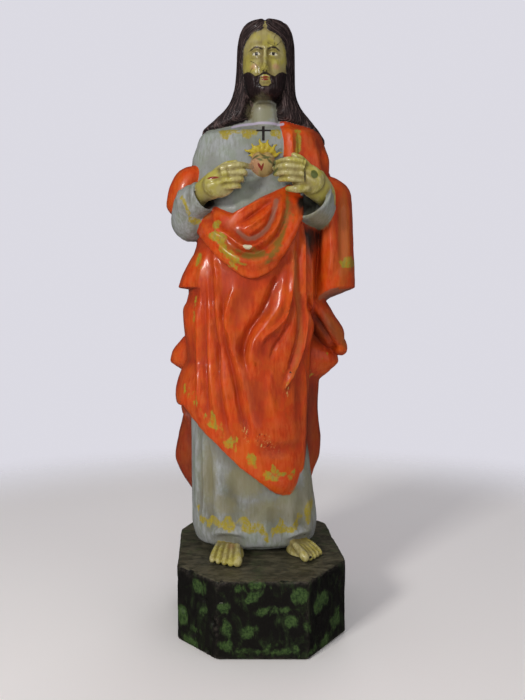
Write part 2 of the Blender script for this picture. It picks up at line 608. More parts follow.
# The face is a plain calm one of the carver's own, on equal thirds from hairline to brow, foot of
# the nose and chin, and mirrored about the middle of the head.
HEAD_MIDDLE = 5.5
HAIRLINE = 404
CHIN = 353
THIRD = (HAIRLINE - CHIN) / 3
BROW = HAIRLINE - THIRD
NOSE_FOOT = CHIN + THIRD
EYE_HEIGHT = BROW - 3.2
EYE_OFFSET = 6.5
MOUTH_HEIGHT = NOSE_FOOT - THIRD / 3
# Mounds and hollows: offset from the middle, height, half width, half height, rise
FACE_FORMS = [
    (0, NOSE_FOOT + 2.8, 2.3, 2.8, 3.6), (0, NOSE_FOOT + 7.5, 1.7, 6, 2.7), (0, BROW + 0.5, 2.2, 5, 1.2),
    (EYE_OFFSET, BROW + 1.4, 5, 2.1, 1.4), (EYE_OFFSET, EYE_HEIGHT, 4.2, 3.1, -2.6),
    (2.6, EYE_HEIGHT + 0.5, 1.6, 3, -1.4), (EYE_OFFSET + 2.2, NOSE_FOOT + 5, 3.6, 4, 1.1),
    (4.6, MOUTH_HEIGHT + 3, 1.8, 3, -0.5), (0, MOUTH_HEIGHT, 5, 3.2, 1.5), (0, CHIN + 2, 5.4, 5, 2.4),
    (9, MOUTH_HEIGHT - 2, 4, 6, 0.9), (8, HAIRLINE - 8, 4, 5, 0.6),
]
FACE_DETAIL = [
    (EYE_OFFSET, EYE_HEIGHT - 0.1, 2.9, 1.9, 1.7), (1.9, NOSE_FOOT + 1.5, 1.1, 1.2, 1.3),
    (1.3, NOSE_FOOT - 0.1, 0.7, 0.5, -0.9), (0, NOSE_FOOT - 1.6, 0.8, 1.5, -0.5),
    (0, MOUTH_HEIGHT + 1.0, 3.3, 0.85, 0.8), (0, MOUTH_HEIGHT - 1.4, 2.7, 1.0, 0.95),
    (0, MOUTH_HEIGHT - 0.15, 3.6, 0.42, -0.9), (3.9, MOUTH_HEIGHT - 0.1, 0.8, 0.7, -0.5),
    (0, MOUTH_HEIGHT - 3.3, 2.4, 0.8, -0.6),
]
# Lines cut in the face: rise, half width, and a line of offset from the middle and height
FACE_LINES = [
    (0.65, 0.55, [(3.4, EYE_HEIGHT - 0.5), (4.6, EYE_HEIGHT + 1.1), (6.6, EYE_HEIGHT + 1.75),
        (8.6, EYE_HEIGHT + 1.1), (10, EYE_HEIGHT - 0.3)]),
    (0.5, 0.5, [(3.6, EYE_HEIGHT - 0.7), (5.2, EYE_HEIGHT - 1.6), (7, EYE_HEIGHT - 1.8),
        (8.9, EYE_HEIGHT - 1.2), (9.9, EYE_HEIGHT - 0.4)]),
    (-0.5, 0.5, [(3.6, EYE_HEIGHT + 1.6), (5.2, EYE_HEIGHT + 2.6), (7.4, EYE_HEIGHT + 2.8),
        (9.8, EYE_HEIGHT + 1.6)]),
    (0.8, 1.2, [(0.5, MOUTH_HEIGHT + 2.5), (2.6, MOUTH_HEIGHT + 2.3), (4.6, MOUTH_HEIGHT + 0.6),
        (5.8, MOUTH_HEIGHT - 2.4)]),
]


def face_forms(x, z, forms):
    total = np.zeros(len(x))
    for offset, height, wide, tall, rise in forms:
        across = (np.abs(x - HEAD_MIDDLE) - offset) / wide
        total += rise * np.exp(-across ** 2 - ((z - height) / tall) ** 2)
    return total


def face():
    def place(angle, height):
        x, y = on_section(section_at(FACE, height), angle, HEAD_FULLNESS)
        front = ease(np.cos(angle) / 0.3)
        return x, y - front * face_forms(x, height, FACE_FORMS)

    return turned("face", FACE, GRAIN, int(FACE_ROUND / GRAIN), place, crowding=0.3)


# Sleeves, and the hollow cuffs in them: x, y, height, radius across, radius in depth
RIGHT_SLEEVE = [
    (-46, 26, 298, 9, 12), (-51.5, 18, 277, 14, 16), (-52.5, 7, 259.5, 16, 17), (-50, -9, 270, 14, 14),
    (-41.5, -17.5, 274.5, 12.2, 10),
]
RIGHT_CUFF = [(-40.8, -18.3, 274.8, 10.5, 8.4), (-44.5, -13.4, 272.5, 9.4, 7.4),
              (-48, -9, 271, 7, 6)]
LEFT_SLEEVE = [
    (51, 30, 298, 8, 12), (54, 22, 276, 11.5, 15), (50, 10, 265, 12, 13), (45.5, -6, 267, 15, 12.5),
    (42, -19, 271, 18, 11),
]
LEFT_CUFF = [(41, -20.5, 272, 15.8, 9.4), (45, -12, 270, 13, 8), (48, -6, 268, 9, 6)]
# The tail of cloth that stands out at the side: x, y, height, radius across and in depth
SIDE_FLAP = [
    (41, 28, 206, 5, 14), (45.5, 29, 193, 10.8, 22), (53.5, 30, 179, 11.6, 24), (61, 31, 168, 11, 21),
    (65, 32, 162, 7.5, 16),
]
# How far the rim between a sleeve and its hollow stands out
RIM = 1.3


def sleeve(name, outside, hollow):
    """A sleeve whose end turns back into itself, so that its cuff is hollow"""
    out, inn = curve_through(outside, 8), curve_through(hollow, 6)
    ahead = out[-1][:3] - out[-2][:3]
    ahead = ahead / np.linalg.norm(ahead)
    rim = []
    for turn in np.linspace(0.15, 0.85, 4):
        row = mix(out[-1], inn[0], turn)
        row[:3] += ahead * RIM * math.sin(turn * math.pi)
        rim.append(row)
    way = np.vstack([out, rim, inn])
    back = len(out) + 2
    along = np.empty((len(way), 3))
    along[:back] = np.gradient(way[:back, :3], axis=0)
    along[back:] = -np.gradient(way[back:, :3], axis=0)
    along[back - 2:back + 3] = along[back - 3]
    return skinned(name, way, along, 56)


# The hands, seen from their backs: wrist, palm, and each finger's knuckle, middle, tip and radius
RIGHT_HAND = {
    "wrist": [(-48, -9, 271, 6, 5), (-41.5, -19, 277.5, 8, 6.2), (-32, -28, 281.5, 10, 6)],
    "palm": ((-28, -29, 282.5), (12.5, 6.3, 10.5), 0.3),
    "fingers": [
        [(-27, -32.5, 292), (-14, -34.5, 294.6), (-4.6, -25, 295.2), 2.6],
        [(-26, -34, 288), (-11.5, -34.4, 289.6), (-9, -26, 289.4), 2.6],
        [(-26, -34, 283.6), (-13.6, -34.6, 284.8), (-11.4, -27, 284.8), 2.5],
        [(-27, -32.5, 279), (-15.4, -33, 280), (-13.4, -27, 280.4), 2.3],
        [(-33, -28, 289), (-24, -29, 295.6), (-16.4, -28, 298), 2.5],
    ],
}
LEFT_HAND = {
    "wrist": [(55, -4, 270, 6, 5), (50, -16, 277, 9, 6), (42, -26, 283, 11, 6)],
    "palm": ((37, -29, 285.5), (12.5, 6.3, 10.8), -0.3),
    "fingers": [
        [(38, -29, 294), (32, -31, 299.4), (26.4, -30, 303), 2.5],
        [(35, -32.5, 296.4), (23.4, -34, 298.2), (13.6, -24.6, 298.7), 2.6],
        [(34, -34, 292.6), (21.4, -35, 294), (12.6, -26, 294.2), 2.6],
        [(34, -34, 288.2), (21.4, -34.6, 289.6), (13, -26.4, 289.6), 2.5],
        [(35, -32.6, 283.6), (23.6, -33.4, 285), (16.4, -27, 285.4), 2.3],
        [(38, -32, 278.6), (29, -33.4, 277.6), (22.4, -30, 278.2), 2.9],
    ],
}
# A finger's radius at its knuckle, middle and tip, as shares of the radius given above
FINGER_TAPER = (1.05, 1, 0.72)


def hand(name, parts):
    pieces = [limb(name + "-wrist", parts["wrist"], 36, 8), lump(name + "-palm", *parts["palm"])]
    for i, (*stations, radius) in enumerate(parts["fingers"]):
        path = [(*place, radius * size, radius * size)
                for place, size in zip(stations, FINGER_TAPER)]
        pieces.append(limb(f"{name}-finger-{i}", path, 22, 10))
    return pieces


# The heart on the breast: how much it narrows to its tip and how soon, how much longer it is below
# its middle, and the depth and width of its notch
HEART_MIDDLE = (4, -10, 299.4)
HEART_HALF = (9.6, 9, 11)
HEART_TAPER = (0.62, 1.5)
HEART_TIP = 1.1
HEART_NOTCH = (0.26, 0.3)
# The flames that fan out over it: swing, reach and width; and how far over its middle they start
FLAMES = [
    (-1.38, 11, 1.3), (-1.12, 15.6, 1.5), (-0.86, 11.4, 1.3), (-0.66, 13.8, 1.4), (-0.42, 10.6, 1.5),
    (-0.16, 14.8, 1.6), (0.06, 11.6, 1.5), (0.3, 14.6, 1.5), (0.55, 10.8, 1.4), (0.8, 14.6, 1.5),
    (1.06, 11.2, 1.4), (1.3, 15.4, 1.4),
]
FLAME_LIFT = 5.5
FLAME_SWAY = 0.9


def heart():
    piece = ball("heart", 60, 44)
    x, y, z = points_of(piece).T
    narrow = np.where(z < 0, 1 - HEART_TAPER[0] * np.abs(z) ** HEART_TAPER[1], 1)
    notch = np.where(z > 0, HEART_NOTCH[0] * z * np.exp(-(x / HEART_NOTCH[1]) ** 2), 0)
    cx, cy, cz = HEART_MIDDLE
    rx, ry, rz = HEART_HALF
    set_points(piece, np.column_stack([
        cx + x * rx * narrow, cy + y * ry * narrow,
        cz + (z - notch) * rz * np.where(z < 0, HEART_TIP, 1)]))
    return [piece]


def flames():
    cx, _, cz = HEART_MIDDLE
    pieces = [lump("flame-root", (cx, -7.4, cz + 11), (7.4, 3.8, 4), columns=32, rings=20)]
    for i, (swing, reach, width) in enumerate(FLAMES):
        s, c = math.sin(swing), math.cos(swing)
        sway = FLAME_SWAY * (1 if i % 2 else -1)
        # How far out and aside each station of the flame stands, its depth and its half sizes
        path = [
            (cx + s * out + c * aside, depth, cz + FLAME_LIFT + c * out - s * aside, wide, deep)
            for out, aside, depth, wide, deep in (
                (4, 0, -8.6, width, 1.6), (reach * 0.62, sway, -10.2, width, 1.7),
                (reach * 0.86, -0.6 * sway, -9.8, width * 0.6, 1.2), (reach, 0, -9, 0.6, 0.6))
        ]
        pieces.append(limb(f"flame-{i}", path, 16, 6))
    return pieces


# The bare feet: heel, heading, length, width, and the side that their toes run out to
FEET = [((-22, -6), -0.06, 41, 25, -1), ((27, -2), 0.5, 35, 22, 1)]
INSTEP_HEIGHT = 11
BALL_HEIGHT = 5
# Each toe from the big one outward: reach as a share of the foot's length, radius
TOES = [(1, 3.3), (0.985, 2.5), (0.94, 2.4), (0.88, 2.3), (0.81, 2.2)]
# Stations along a toe: how far behind its tip, share of its place to the side, height over the
# ground and how many radii more, and half width and half height as shares of its radius
TOE_STATIONS = [
    (24, 0.72, 8.2, 0, 0.8, 0.8), (13, 0.9, 6.8, 0, 0.84, 0.86), (4, 1, 1.2, 1, 1.06, 1.1),
    (1.2, 1, 0, 1, 0.95, 0.9),
]


def foot(name, heel, heading, length, width, outer):
    c, s = math.cos(heading), math.sin(heading)

    def place(side, ahead, height):
        return (heel[0] + side * c * outer + ahead * s,
                heel[1] + side * s * outer - ahead * c, height)

    sole = ball(name + "-sole", 44, 28)
    x, y, z = points_of(sole).T
    share = 0.42 - 0.42 * y
    high = np.where(z > 0, 0.5 + z * mix(INSTEP_HEIGHT, BALL_HEIGHT, share), 0.5 + z * 0.4)
    set_points(sole, np.column_stack(place(x * outer * width / 2, share * length, high)))
    pieces = [sole]
    for i, (share, radius) in enumerate(TOES):
        side = width * mix(-0.38, 0.4, i / (len(TOES) - 1))
        reach = length * share
        path = [(*place(side * out, reach - back, low + up * radius), radius * wide, radius * tall)
                for back, out, low, up, wide, tall in TOE_STATIONS]
        pieces.append(limb(f"{name}-toe-{i}", path, 24, 8))
    return pieces


def near(tree, co, limit):
    """Distance of many points from a surface, up to a limit"""
    out = np.full(len(co), float(limit))
    for i, p in enumerate(co):
        found = tree.find_nearest(p, limit)
        if found[3] is not None:
            out[i] = found[3]
    return out


def near_group(trees, co, limit):
    """Distance of many points from the nearest surface of a group"""
    out = np.full(len(co), float(limit))
    for tree, low, high in trees:
        close = np.nonzero(((co > low - limit) & (co < high + limit)).all(1))[0]
        out[close] = np.minimum(out[close], near(tree, co[close], limit))
    return out


def on_part(trees, co, where):
    """Of the points in a region, those that lie on a group of surfaces"""
    some = np.nonzero(where)[0]
    return some[near_group(trees, co[some], 2) < ON_PART]


def tree_of(piece):
    co = points_of(piece)
    tree = BVHTree.FromPolygons(co.tolist(), [list(p.vertices) for p in piece.data.polygons])
    return tree, co.min(0), co.max(0)


def averaged(values, edges, rounds):
    """Values of each point evened out with its neighbours"""
    a, b = edges.T
    count = np.bincount(a, minlength=len(values)) + np.bincount(b, minlength=len(values))
    for _ in range(rounds):
        total = np.bincount(a, values[b], len(values)) + np.bincount(b, values[a], len(values))
        values = total / np.maximum(count, 1)
    return values


def grain_noise(co, size, seed=0.0):
    return np.array([noise.noise(Vector(p) / size + Vector((seed, 0, 0))) for p in co])


def uneven(co, marks):
    """The rise of a hand-worked surface, from marks as height, size and seed of their noise"""
    return sum(rise * grain_noise(co, size, seed) for rise, size, seed in marks)


# The bare oval that the hair leaves round the face and down to the collar, the beard's outline and
# the bare lip in it, both from the middle of the face
FACE_WINDOW = [(x, z) for x, z in HAIR_EDGE if -16 < x < 22 and z > 337]
BEARD_EDGE = [
    (-20, 373), (-13, 371.5), (-10, 369.4), (-7.5, 366.6), (-4.5, 367.4), (-2, 369), (0, 369.6), (2, 369),
    (4.5, 367.4), (7.5, 366.6), (10, 369.4), (13, 371.5), (20, 373), (20, 355), (9, 350.6), (0, 350),
    (-9, 350.6), (-20, 355),
]
BARE_LIP = [(-4.4, 361), (-3.6, 365.6), (-1.2, 366.9), (1.2, 366.9), (3.6, 365.6), (4.4, 361),
            (2.4, 358.6), (-2.4, 358.6)]
# Creases of the hands: rise, half width, line
HAND_LINES = [
    (-0.5, 0.7, [(-24.5, 294.6), (-22.6, 292), (-22.4, 290)]),
    (-0.5, 0.7, [(-21.5, 288.4), (-20.6, 286), (-20.8, 284)]),
    (0.6, 1.3, [(-36, 284), (-28, 288), (-23, 290)]),
    (0.6, 1.3, [(-36, 280), (-28, 282), (-23, 283.4)]),
    (0.6, 1.3, [(46, 284), (38, 290), (32, 294)]),
    (0.6, 1.3, [(46, 281), (38, 285), (32, 289)]),
    (-0.6, 0.6, [(34.5, 300), (33.6, 294), (34.6, 287), (36, 282)]),
]
# Folds of both sleeves, as those of the cloth
SLEEVE_FOLDS = [
    (1.4, 3, 3, 0.3, [(64, 292), (63, 276), (58, 262)]),
    (-1.2, 3, 3, 0.2, [(57, 292), (57, 276), (53, 260)]),
    (-1.2, 3, 3, 0.2, [(-50, 292), (-52, 276), (-50, 262)]),
    (1.2, 3, 3, 0.3, [(-58, 290), (-60, 274), (-57, 258)]),
    (-0.9, 3, 3, 0.2, [(-44, 290), (-46, 276), (-46, 266)]),
]
# The groove between the arm's fold and the side flap, as depth, half width and line, and the depth
# and half width of the hair's parting
FLAP_GROOVE = (3.2, 2.2, [(38, 196), (44, 186), (52.5, 173), (62, 158)])
PARTING = (1.3, 1.5)
# The corner of cloth that stands out on the left: foot, top, how far, and where it begins
TAIL = (205.6, 233, 8.5, -42)
# The wreath of thorns round the heart: height, how much it swells, half width and line
THORNS = (0.9, 0.25, 1.1, [(-9, 297), (-6, 299.4), (-1, 301.6), (4, 302.6), (9, 304), (13.4, 306)])
# The combed hair: distance of its strands and depth of the grooves between them, and the middle of
# the head and its rough radius, which the strands behind run round
STRAND_GAP = 2.6
STRAND_DEPTH = (0.95, 0.3)
HEAD_CENTER = 20
HEAD_RADIUS = 25
# Marks of the knife on the cloth and lengthwise strokes on its lower part, as height, size and seed,
# and how much the height is squeezed where strokes are looked up
KNIFE_MARKS = [(0.28, 11, 0), (0.12, 4.2, 7)]
KNIFE_STROKES = [(0.3, 2.4, 11)]
STROKE_SQUEEZE = 0.12
# Foot and back of the carved face, foot of the hair, and top of the knife marks on the cloth
NECK_TOP = 340
FACE_END = 12
HAIR_FOOT = 300
KNIFE_TOP = 330
# Lowest and highest place of what is carved on the hands, round the heart, on the sleeves, in the
# groove over the side flap and, as lengthwise strokes, on the lower cloth
HAND_HEIGHTS = (262, 308)
HEART_HEIGHTS = (286, 312)
SLEEVE_HEIGHTS = (248, 300)
FLAP_HEIGHTS = (152, 204)
STROKE_HEIGHTS = (50, 250)


def strand_of(co):
    """The way across the combed hair in mm: along the face it follows the hairline, then it runs
    round the head"""
    x, y, z = co.T
    round_head = np.abs(np.arctan2(x - HEAD_MIDDLE, HEAD_CENTER - y)) * HEAD_RADIUS
    off_hairline = -inside(x, z, FACE_WINDOW)
    return mix(round_head, off_hairline + 9, ease((FACE_END - y) / 14))


def hairy_at(side, z):
    """How far inside the beard a point lies"""
    return np.minimum(inside(side, z, BEARD_EDGE), -inside(side, z, BARE_LIP))


def comb_hair(co, push, mine):
    """Wavy strands of the hair, fine ones between them, and the parting"""
    x, _, z = co[mine].T
    strand = strand_of(co[mine])
    wave = 1.1 * np.sin(z / 6.5 + strand / 5) + 0.5 * np.sin(z / 2.9)
    groove = np.abs(np.sin((strand + wave) * math.pi / STRAND_GAP))
    fine = np.abs(np.sin((strand * 1.9 + 1.3 * wave + 1) * math.pi / STRAND_GAP))
    push[mine] -= STRAND_DEPTH[0] * (1 - groove) ** 2 + STRAND_DEPTH[1] * (1 - fine) ** 2
    depth, wide = PARTING
    push[mine] -= depth * np.exp(-((x - HEAD_MIDDLE) / wide) ** 2) * ease((z - HAIRLINE + 6) / 8)


def carve_face(co, normal, mine):
    """The eyes, nose and mouth and the combed beard, cut straight in from the front"""
    x, z = co[mine, 0], co[mine, 2]
    front = ease((-normal[mine, 1] - 0.1) / 0.4)
    side = x - HEAD_MIDDLE
    rise = face_forms(x, z, FACE_DETAIL)
    for up, wide, line in FACE_LINES:
        rise += up * np.exp(-(off_curve(np.abs(side), z, line) / wide) ** 2)
    comb = np.abs(np.sin((side + 0.35 * np.sin(z / 1.7)) * math.pi / 2))
    rise += ease(hairy_at(side, z) / 1.2 + 0.3) * (0.7 - 0.5 * (1 - comb) ** 2)
    co[mine, 1] -= front * rise


def carve_hands(co, normal, push, trees):
    """The creases of both hands"""
    x, y, z = co.T
    mine = on_part(trees["hands"], co, between(z, HAND_HEIGHTS) & (y < -12))
    mine = mine[normal[mine, 1] < -0.2]
    for up, wide, line in HAND_LINES:
        push[mine] += up * np.exp(-(off_curve(x[mine], z[mine], line) / wide) ** 2)


def carve_thorns(co, push, trees):
    """The wreath round the heart"""
    x, y, z = co.T
    mine = on_part(trees["heart"], co, between(z, HEART_HEIGHTS) & (y < -8) & (
        np.abs(x - HEART_MIDDLE[0]) < 12))
    rise, swell, wide, line = THORNS
    far, _, way, _ = from_line(x[mine], z[mine], curve_through(line))
    push[mine] += (rise + swell * np.sin(way * 3)) * np.exp(-(far / wide) ** 2)


def carve_sleeves(co, normal, push, trees):
    x, _, z = co.T
    mine = on_part(trees["sleeves"], co, between(z, SLEEVE_HEIGHTS) & (np.abs(x) > 36))
    push[mine] += folds_at(x[mine], z[mine], SLEEVE_FOLDS) * ease(-normal[mine, 1] + 0.5)


def carve_cloth(co, push):
    """The marks of the knife on the cloth, and the groove over the side flap"""
    x, y, z = co.T
    cloth = z < KNIFE_TOP
    push[cloth] += uneven(co[cloth], KNIFE_MARKS)
    low = between(z, STROKE_HEIGHTS)
    push[low] += uneven(co[low] * (1, 1, STROKE_SQUEEZE), KNIFE_STROKES)
    flap = np.nonzero(between(z, FLAP_HEIGHTS) & (x > 38) & (y < 30))[0]
    depth, wide, line = FLAP_GROOVE
    push[flap] -= depth * np.exp(-(off_curve(x[flap], z[flap], line) / wide) ** 2)


def tail_at(co):
    """How far each point is drawn out to the left, for the corner of cloth that stands out there"""
    x, y, z = co.T
    low, top, out, begin = TAIL
    share = ease((z - low) / 1.4) * np.clip((top - z) / (top - low), 0, 1)
    return out * share * ease((begin - x) / 9) * ease((48 - y) / 14)


def carve(figure, trees):
    """The finer carving of the joined figure"""
    co, normal = points_of(figure), normals_of(figure)
    push = np.zeros(len(co))
    high = np.nonzero(co[:, 2] > HAIR_FOOT)[0]
    hair_far, skin_far = (near_group(trees[name], co[high], 3) for name in ("hair", "face"))
    comb_hair(co, push, high[(hair_far < ON_PART) & (hair_far < skin_far)])
    face_front = (co[high, 1] < FACE_END) & (co[high, 2] > NECK_TOP)
    carve_face(co, normal, high[(skin_far < 1.2) & (skin_far <= hair_far) & face_front])
    carve_hands(co, normal, push, trees)
    carve_thorns(co, push, trees)
    carve_sleeves(co, normal, push, trees)
    carve_cloth(co, push)
    tail = tail_at(co)
    co = co + normal * push[:, None]
    co[:, 0] -= tail
    set_points(figure, co)


def joined(pieces, name):
    deselect()
    for piece in pieces:
        piece.select_set(True)
    bpy.context.view_layer.objects.active = pieces[0]
    bpy.ops.object.join()
    piece = bpy.context.object
    piece.name = name
    piece.data.name = name
    return piece


def carved_figure():
    """All parts of the figure made one closed body, carved and thinned out"""
    parts = {
        "tunic": [tunic()],
        "cloth": [
            mantle(), overfold(), cape(),
            draped("arm-fold", ARM_FOLD, GRAIN * 1.3, FOLD_FULLNESS, ARM_FOLD_LINES, columns=150),
            draped("arm-roll", ARM_ROLL, GRAIN * 1.3, HEAD_FULLNESS, columns=110),
            limb("side-flap", SIDE_FLAP, 48, 12),
        ],
        "hair": [hair()],
        "face": [face()],
        "sleeves": [sleeve("right-sleeve", RIGHT_SLEEVE, RIGHT_CUFF),
                    sleeve("left-sleeve", LEFT_SLEEVE, LEFT_CUFF)],
        "hands": hand("right-hand", RIGHT_HAND) + hand("left-hand", LEFT_HAND),
        "heart": heart(),
        "flames": flames(),
        "feet": foot("right-foot", *FEET[0]) + foot("left-foot", *FEET[1]),
    }
    trees = {name: [tree_of(p) for p in pieces] for name, pieces in parts.items()}
    figure = joined(sum(parts.values(), []), "carved-figure")
    modify(figure, "REMESH", mode="VOXEL", voxel_size=GRAIN)
    keep_outer_shell(figure)
    modify(figure, "SMOOTH", factor=0.5, iterations=2)
    carve(figure, trees)
    thin_out(figure)
    return figure, trees


def modify(piece, kind, **values):
    """Adds one modifier to a piece and applies it"""
    take(piece)
    modifier = piece.modifiers.new(kind.lower(), kind)
    for name, value in values.items():
        setattr(modifier, name, value)
    bpy.ops.object.modifier_apply(modifier=modifier.name)


def keep_outer_shell(piece):
    """Deletes what the remesh leaves shut inside"""
    take(piece)
    top = int(np.argmax(points_of(piece)[:, 2]))
    bpy.ops.object.mode_set(mode="EDIT")
    bpy.ops.mesh.select_all(action="DESELECT")
    bpy.ops.object.mode_set(mode="OBJECT")
    piece.data.vertices[top].select = True
    bpy.ops.object.mode_set(mode="EDIT")
    bpy.ops.mesh.select_mode(type="VERT")
    bpy.ops.mesh.select_linked()
    bpy.ops.mesh.select_all(action="INVERT")
    bpy.ops.mesh.delete(type="VERT")
    bpy.ops.object.mode_set(mode="OBJECT")


# How much less the fine parts are thinned out than the plain ones, and where they are: from the
# head's foot up, between two heights of the hands, below the top of the toes and round the heart
FINE_SHARE = 0.75
FINE_HEAD = 326
FINE_HANDS = (266, 316)
FINE_TOES = 14
FINE_HEART = 286
HEART_REACH = 15


def thin_out(piece):
    """Takes faces away where the surface is plain, and fewer of them on the head, hands, heart and
    feet"""
    x, y, z = points_of(piece).T
    head = ease((z - FINE_HEAD) / 8)
    hands = ease((-y - 14) / 4) * ease((z - FINE_HANDS[0]) / 5) * ease((FINE_HANDS[1] - z) / 5)
    toes = ease((FINE_TOES - z) / 3) * ease((-y - 20) / 4)
    breast = (np.abs(x - HEART_MIDDLE[0]) < HEART_REACH) * (y < 4) * ease((z - FINE_HEART) / 4)
    weight = np.round(1 - FINE_SHARE * np.clip(head + hands + toes + breast, 0, 1), 1)
    plain = piece.vertex_groups.new(name="plain")
    for level in np.unique(weight):
        plain.add(np.nonzero(weight == level)[0].tolist(), float(level), "REPLACE")
    triangles = len(piece.data.polygons) * 2
    modify(piece, "DECIMATE", ratio=min(1, FIGURE_FACES / triangles), vertex_group="plain",
           vertex_group_factor=1.0)
    piece.vertex_groups.clear()


# What the front shows was read by eye off enlarged parts of the photo: the left and top of a part
# in the photo's pixels, and how many times it was enlarged
UPPER_PART = (190, 60, 6)
MIDDLE_PART = (180, 190, 5)
LOWER_PART = (180, 370, 5)
SMALLEST_DAB = 0.5


def seen_at(u, v, depth):
    """x and height over the floor of what a pixel of the photo shows at a depth"""
    right, up = (u - PHOTO_MIDDLE[0]) / FOCUS, (PHOTO_MIDDLE[1] - v) / FOCUS
    cosine, sine = math.cos(CAMERA_TILT), math.sin(CAMERA_TILT)
    reach = (depth - CAMERA_PLACE[1]) / (cosine + up * sine)
    return CAMERA_PLACE[0] + right * reach, CAMERA_PLACE[2] + (up * cosine - sine) * reach


def pixel_at(depth):
    """Size of a pixel of the photo at a depth"""
    return (depth - CAMERA_PLACE[1]) / FOCUS


def read_off(part, depth, dabs):
    """Dabs as x, height, half length, half width and lean in degrees, from their middle, length,
    width and lean, if any, in an enlarged part of the photo"""
    left, top, zoom = part
    half = pixel_at(depth) / zoom / 2
    out = []
    for across, down, long, wide, *lean in dabs:
        x, z = seen_at(left + across / zoom, top + down / zoom, depth)
        size = (max(SMALLEST_DAB, long * half), max(SMALLEST_DAB, wide * half))
        out.append((x, z - FIGURE_FOOT, *size, *(lean or [0])))
    return out


# Dabs of gold on the mantle: along its hem, in the swag, on the side that stands out, along the edge
# of the arm's fold and on the lapel
MANTLE_GOLD = read_off(LOWER_PART, -29, [
    (15, 90, 18, 9, 70), (12, 120, 16, 8, 80), (38, 135, 26, 12, 60), (62, 92, 16, 9, 60),
    (78, 172, 40, 22), (60, 110, 14, 8, 50), (45, 150, 12, 8, 20), (122, 232, 34, 14, -30),
    (160, 208, 36, 14, 80), (168, 245, 40, 26, 80), (160, 285, 40, 20, -20), (195, 300, 40, 24, -30),
    (205, 262, 24, 16, 70), (240, 365, 60, 36, -10), (265, 335, 36, 22, 70), (285, 350, 22, 16, 70),
    (290, 405, 34, 16, -30), (310, 415, 20, 14), (345, 440, 46, 26, 70), (368, 442, 50, 26, 100),
    (335, 455, 24, 18, 30), (385, 475, 30, 20, 70), (350, 470, 50, 14, -20), (440, 520, 50, 26, -30),
    (468, 495, 40, 24, 90), (470, 540, 50, 22, -20), (490, 520, 22, 18, 40), (520, 522, 26, 22, 80),
    (555, 545, 30, 26, 60), (570, 525, 26, 14, 80), (430, 545, 22, 12),
]) + read_off(MIDDLE_PART, -28, [
    (20, 990, 24, 20), (50, 1000, 18, 14, 80), (45, 1030, 20, 16), (15, 1020, 18, 16),
    (70, 990, 12, 12), (85, 340, 60, 22, 75), (120, 395, 20, 14), (95, 380, 16, 14),
    (66, 560, 40, 9, 80), (62, 650, 30, 9, 80), (182, 170, 44, 34, 60), (185, 232, 80, 44, -15),
    (160, 225, 40, 30, 30), (215, 292, 44, 34, 100), (205, 262, 30, 26), (240, 325, 36, 28, -30),
    (225, 338, 30, 12, -40), (270, 350, 40, 32, -40), (262, 322, 24, 20), (290, 345, 24, 18, -20),
    (255, 378, 40, 16, -30), (285, 392, 30, 14, -30), (302, 370, 18, 12), (325, 380, 14, 8),
    (230, 300, 20, 14), (510, 880, 16, 8, 60), (520, 905, 10, 8), (550, 940, 14, 8, 30),
    (540, 965, 16, 6, 70),
]) + read_off(MIDDLE_PART, 20, [
    (830, 368, 84, 42, 2), (845, 350, 30, 20, 10), (810, 385, 36, 18),
]) + read_off(MIDDLE_PART, 0, [
    (720, 850, 10, 8), (690, 880, 14, 10), (665, 905, 20, 10, 20), (750, 825, 8, 8),
    (670, 932, 14, 8), (655, 945, 10, 10), (712, 880, 10, 7),
]) + read_off(UPPER_PART, -8, [
    (655, 440, 60, 24, 88), (652, 500, 80, 26, 92), (640, 540, 40, 18, 90), (662, 470, 60, 16, 88),
    (640, 412, 26, 14),
])
# Duller dabs in the swag
MANTLE_OLIVE = read_off(MIDDLE_PART, -28, [
    (345, 330, 80, 36), (400, 322, 60, 40, 10), (455, 330, 40, 34, 40), (490, 270, 60, 38, 70),
    (480, 310, 30, 28, 30), (525, 180, 60, 24, 80), (540, 60, 100, 22, 92), (560, 110, 80, 18, 92),
    (510, 230, 40, 28, 70), (440, 362, 50, 18, 20), (370, 300, 30, 18), (290, 310, 30, 24),
    (530, 130, 40, 16, 90),
])
# Dabs of gold on the tunic: above its hem, along the collar and on the right sleeve
TUNIC_GOLD = read_off(LOWER_PART, -22, [
    (85, 712, 24, 14, 90), (105, 768, 42, 28, 20), (140, 790, 30, 18, 90), (168, 765, 46, 40, 30),
    (200, 785, 20, 14), (245, 782, 52, 46, -10), (238, 735, 24, 18, 30), (225, 765, 20, 16),
    (315, 745, 36, 30), (345, 795, 60, 36, -10), (335, 770, 40, 24, 10), (395, 770, 40, 26, -20),
    (380, 790, 40, 24), (415, 815, 50, 28, -60), (434, 848, 34, 22, -60), (465, 805, 40, 30),
    (508, 770, 60, 24, 85), (500, 808, 50, 22), (545, 805, 50, 26, -10), (585, 775, 50, 26, 30),
    (575, 800, 30, 16), (600, 740, 24, 22), (610, 760, 20, 14),
]) + read_off(LOWER_PART, -8, [
    (638, 700, 70, 30, 85), (655, 690, 60, 16, 80), (640, 745, 40, 20, 90),
]) + read_off(UPPER_PART, -8, [
    (190, 408, 34, 22), (212, 432, 52, 50), (205, 458, 24, 20, 80), (245, 410, 60, 22),
    (330, 420, 50, 36), (345, 447, 40, 26), (375, 422, 50, 30), (355, 410, 90, 18),
    (515, 425, 50, 40), (535, 447, 26, 20, 80), (500, 413, 34, 18),
]) + read_off(MIDDLE_PART, -4, [
    (36, 85, 60, 14, -70), (55, 130, 50, 16, -65), (78, 163, 50, 24, -10), (60, 165, 24, 18),
    (20, 60, 14, 8),
])
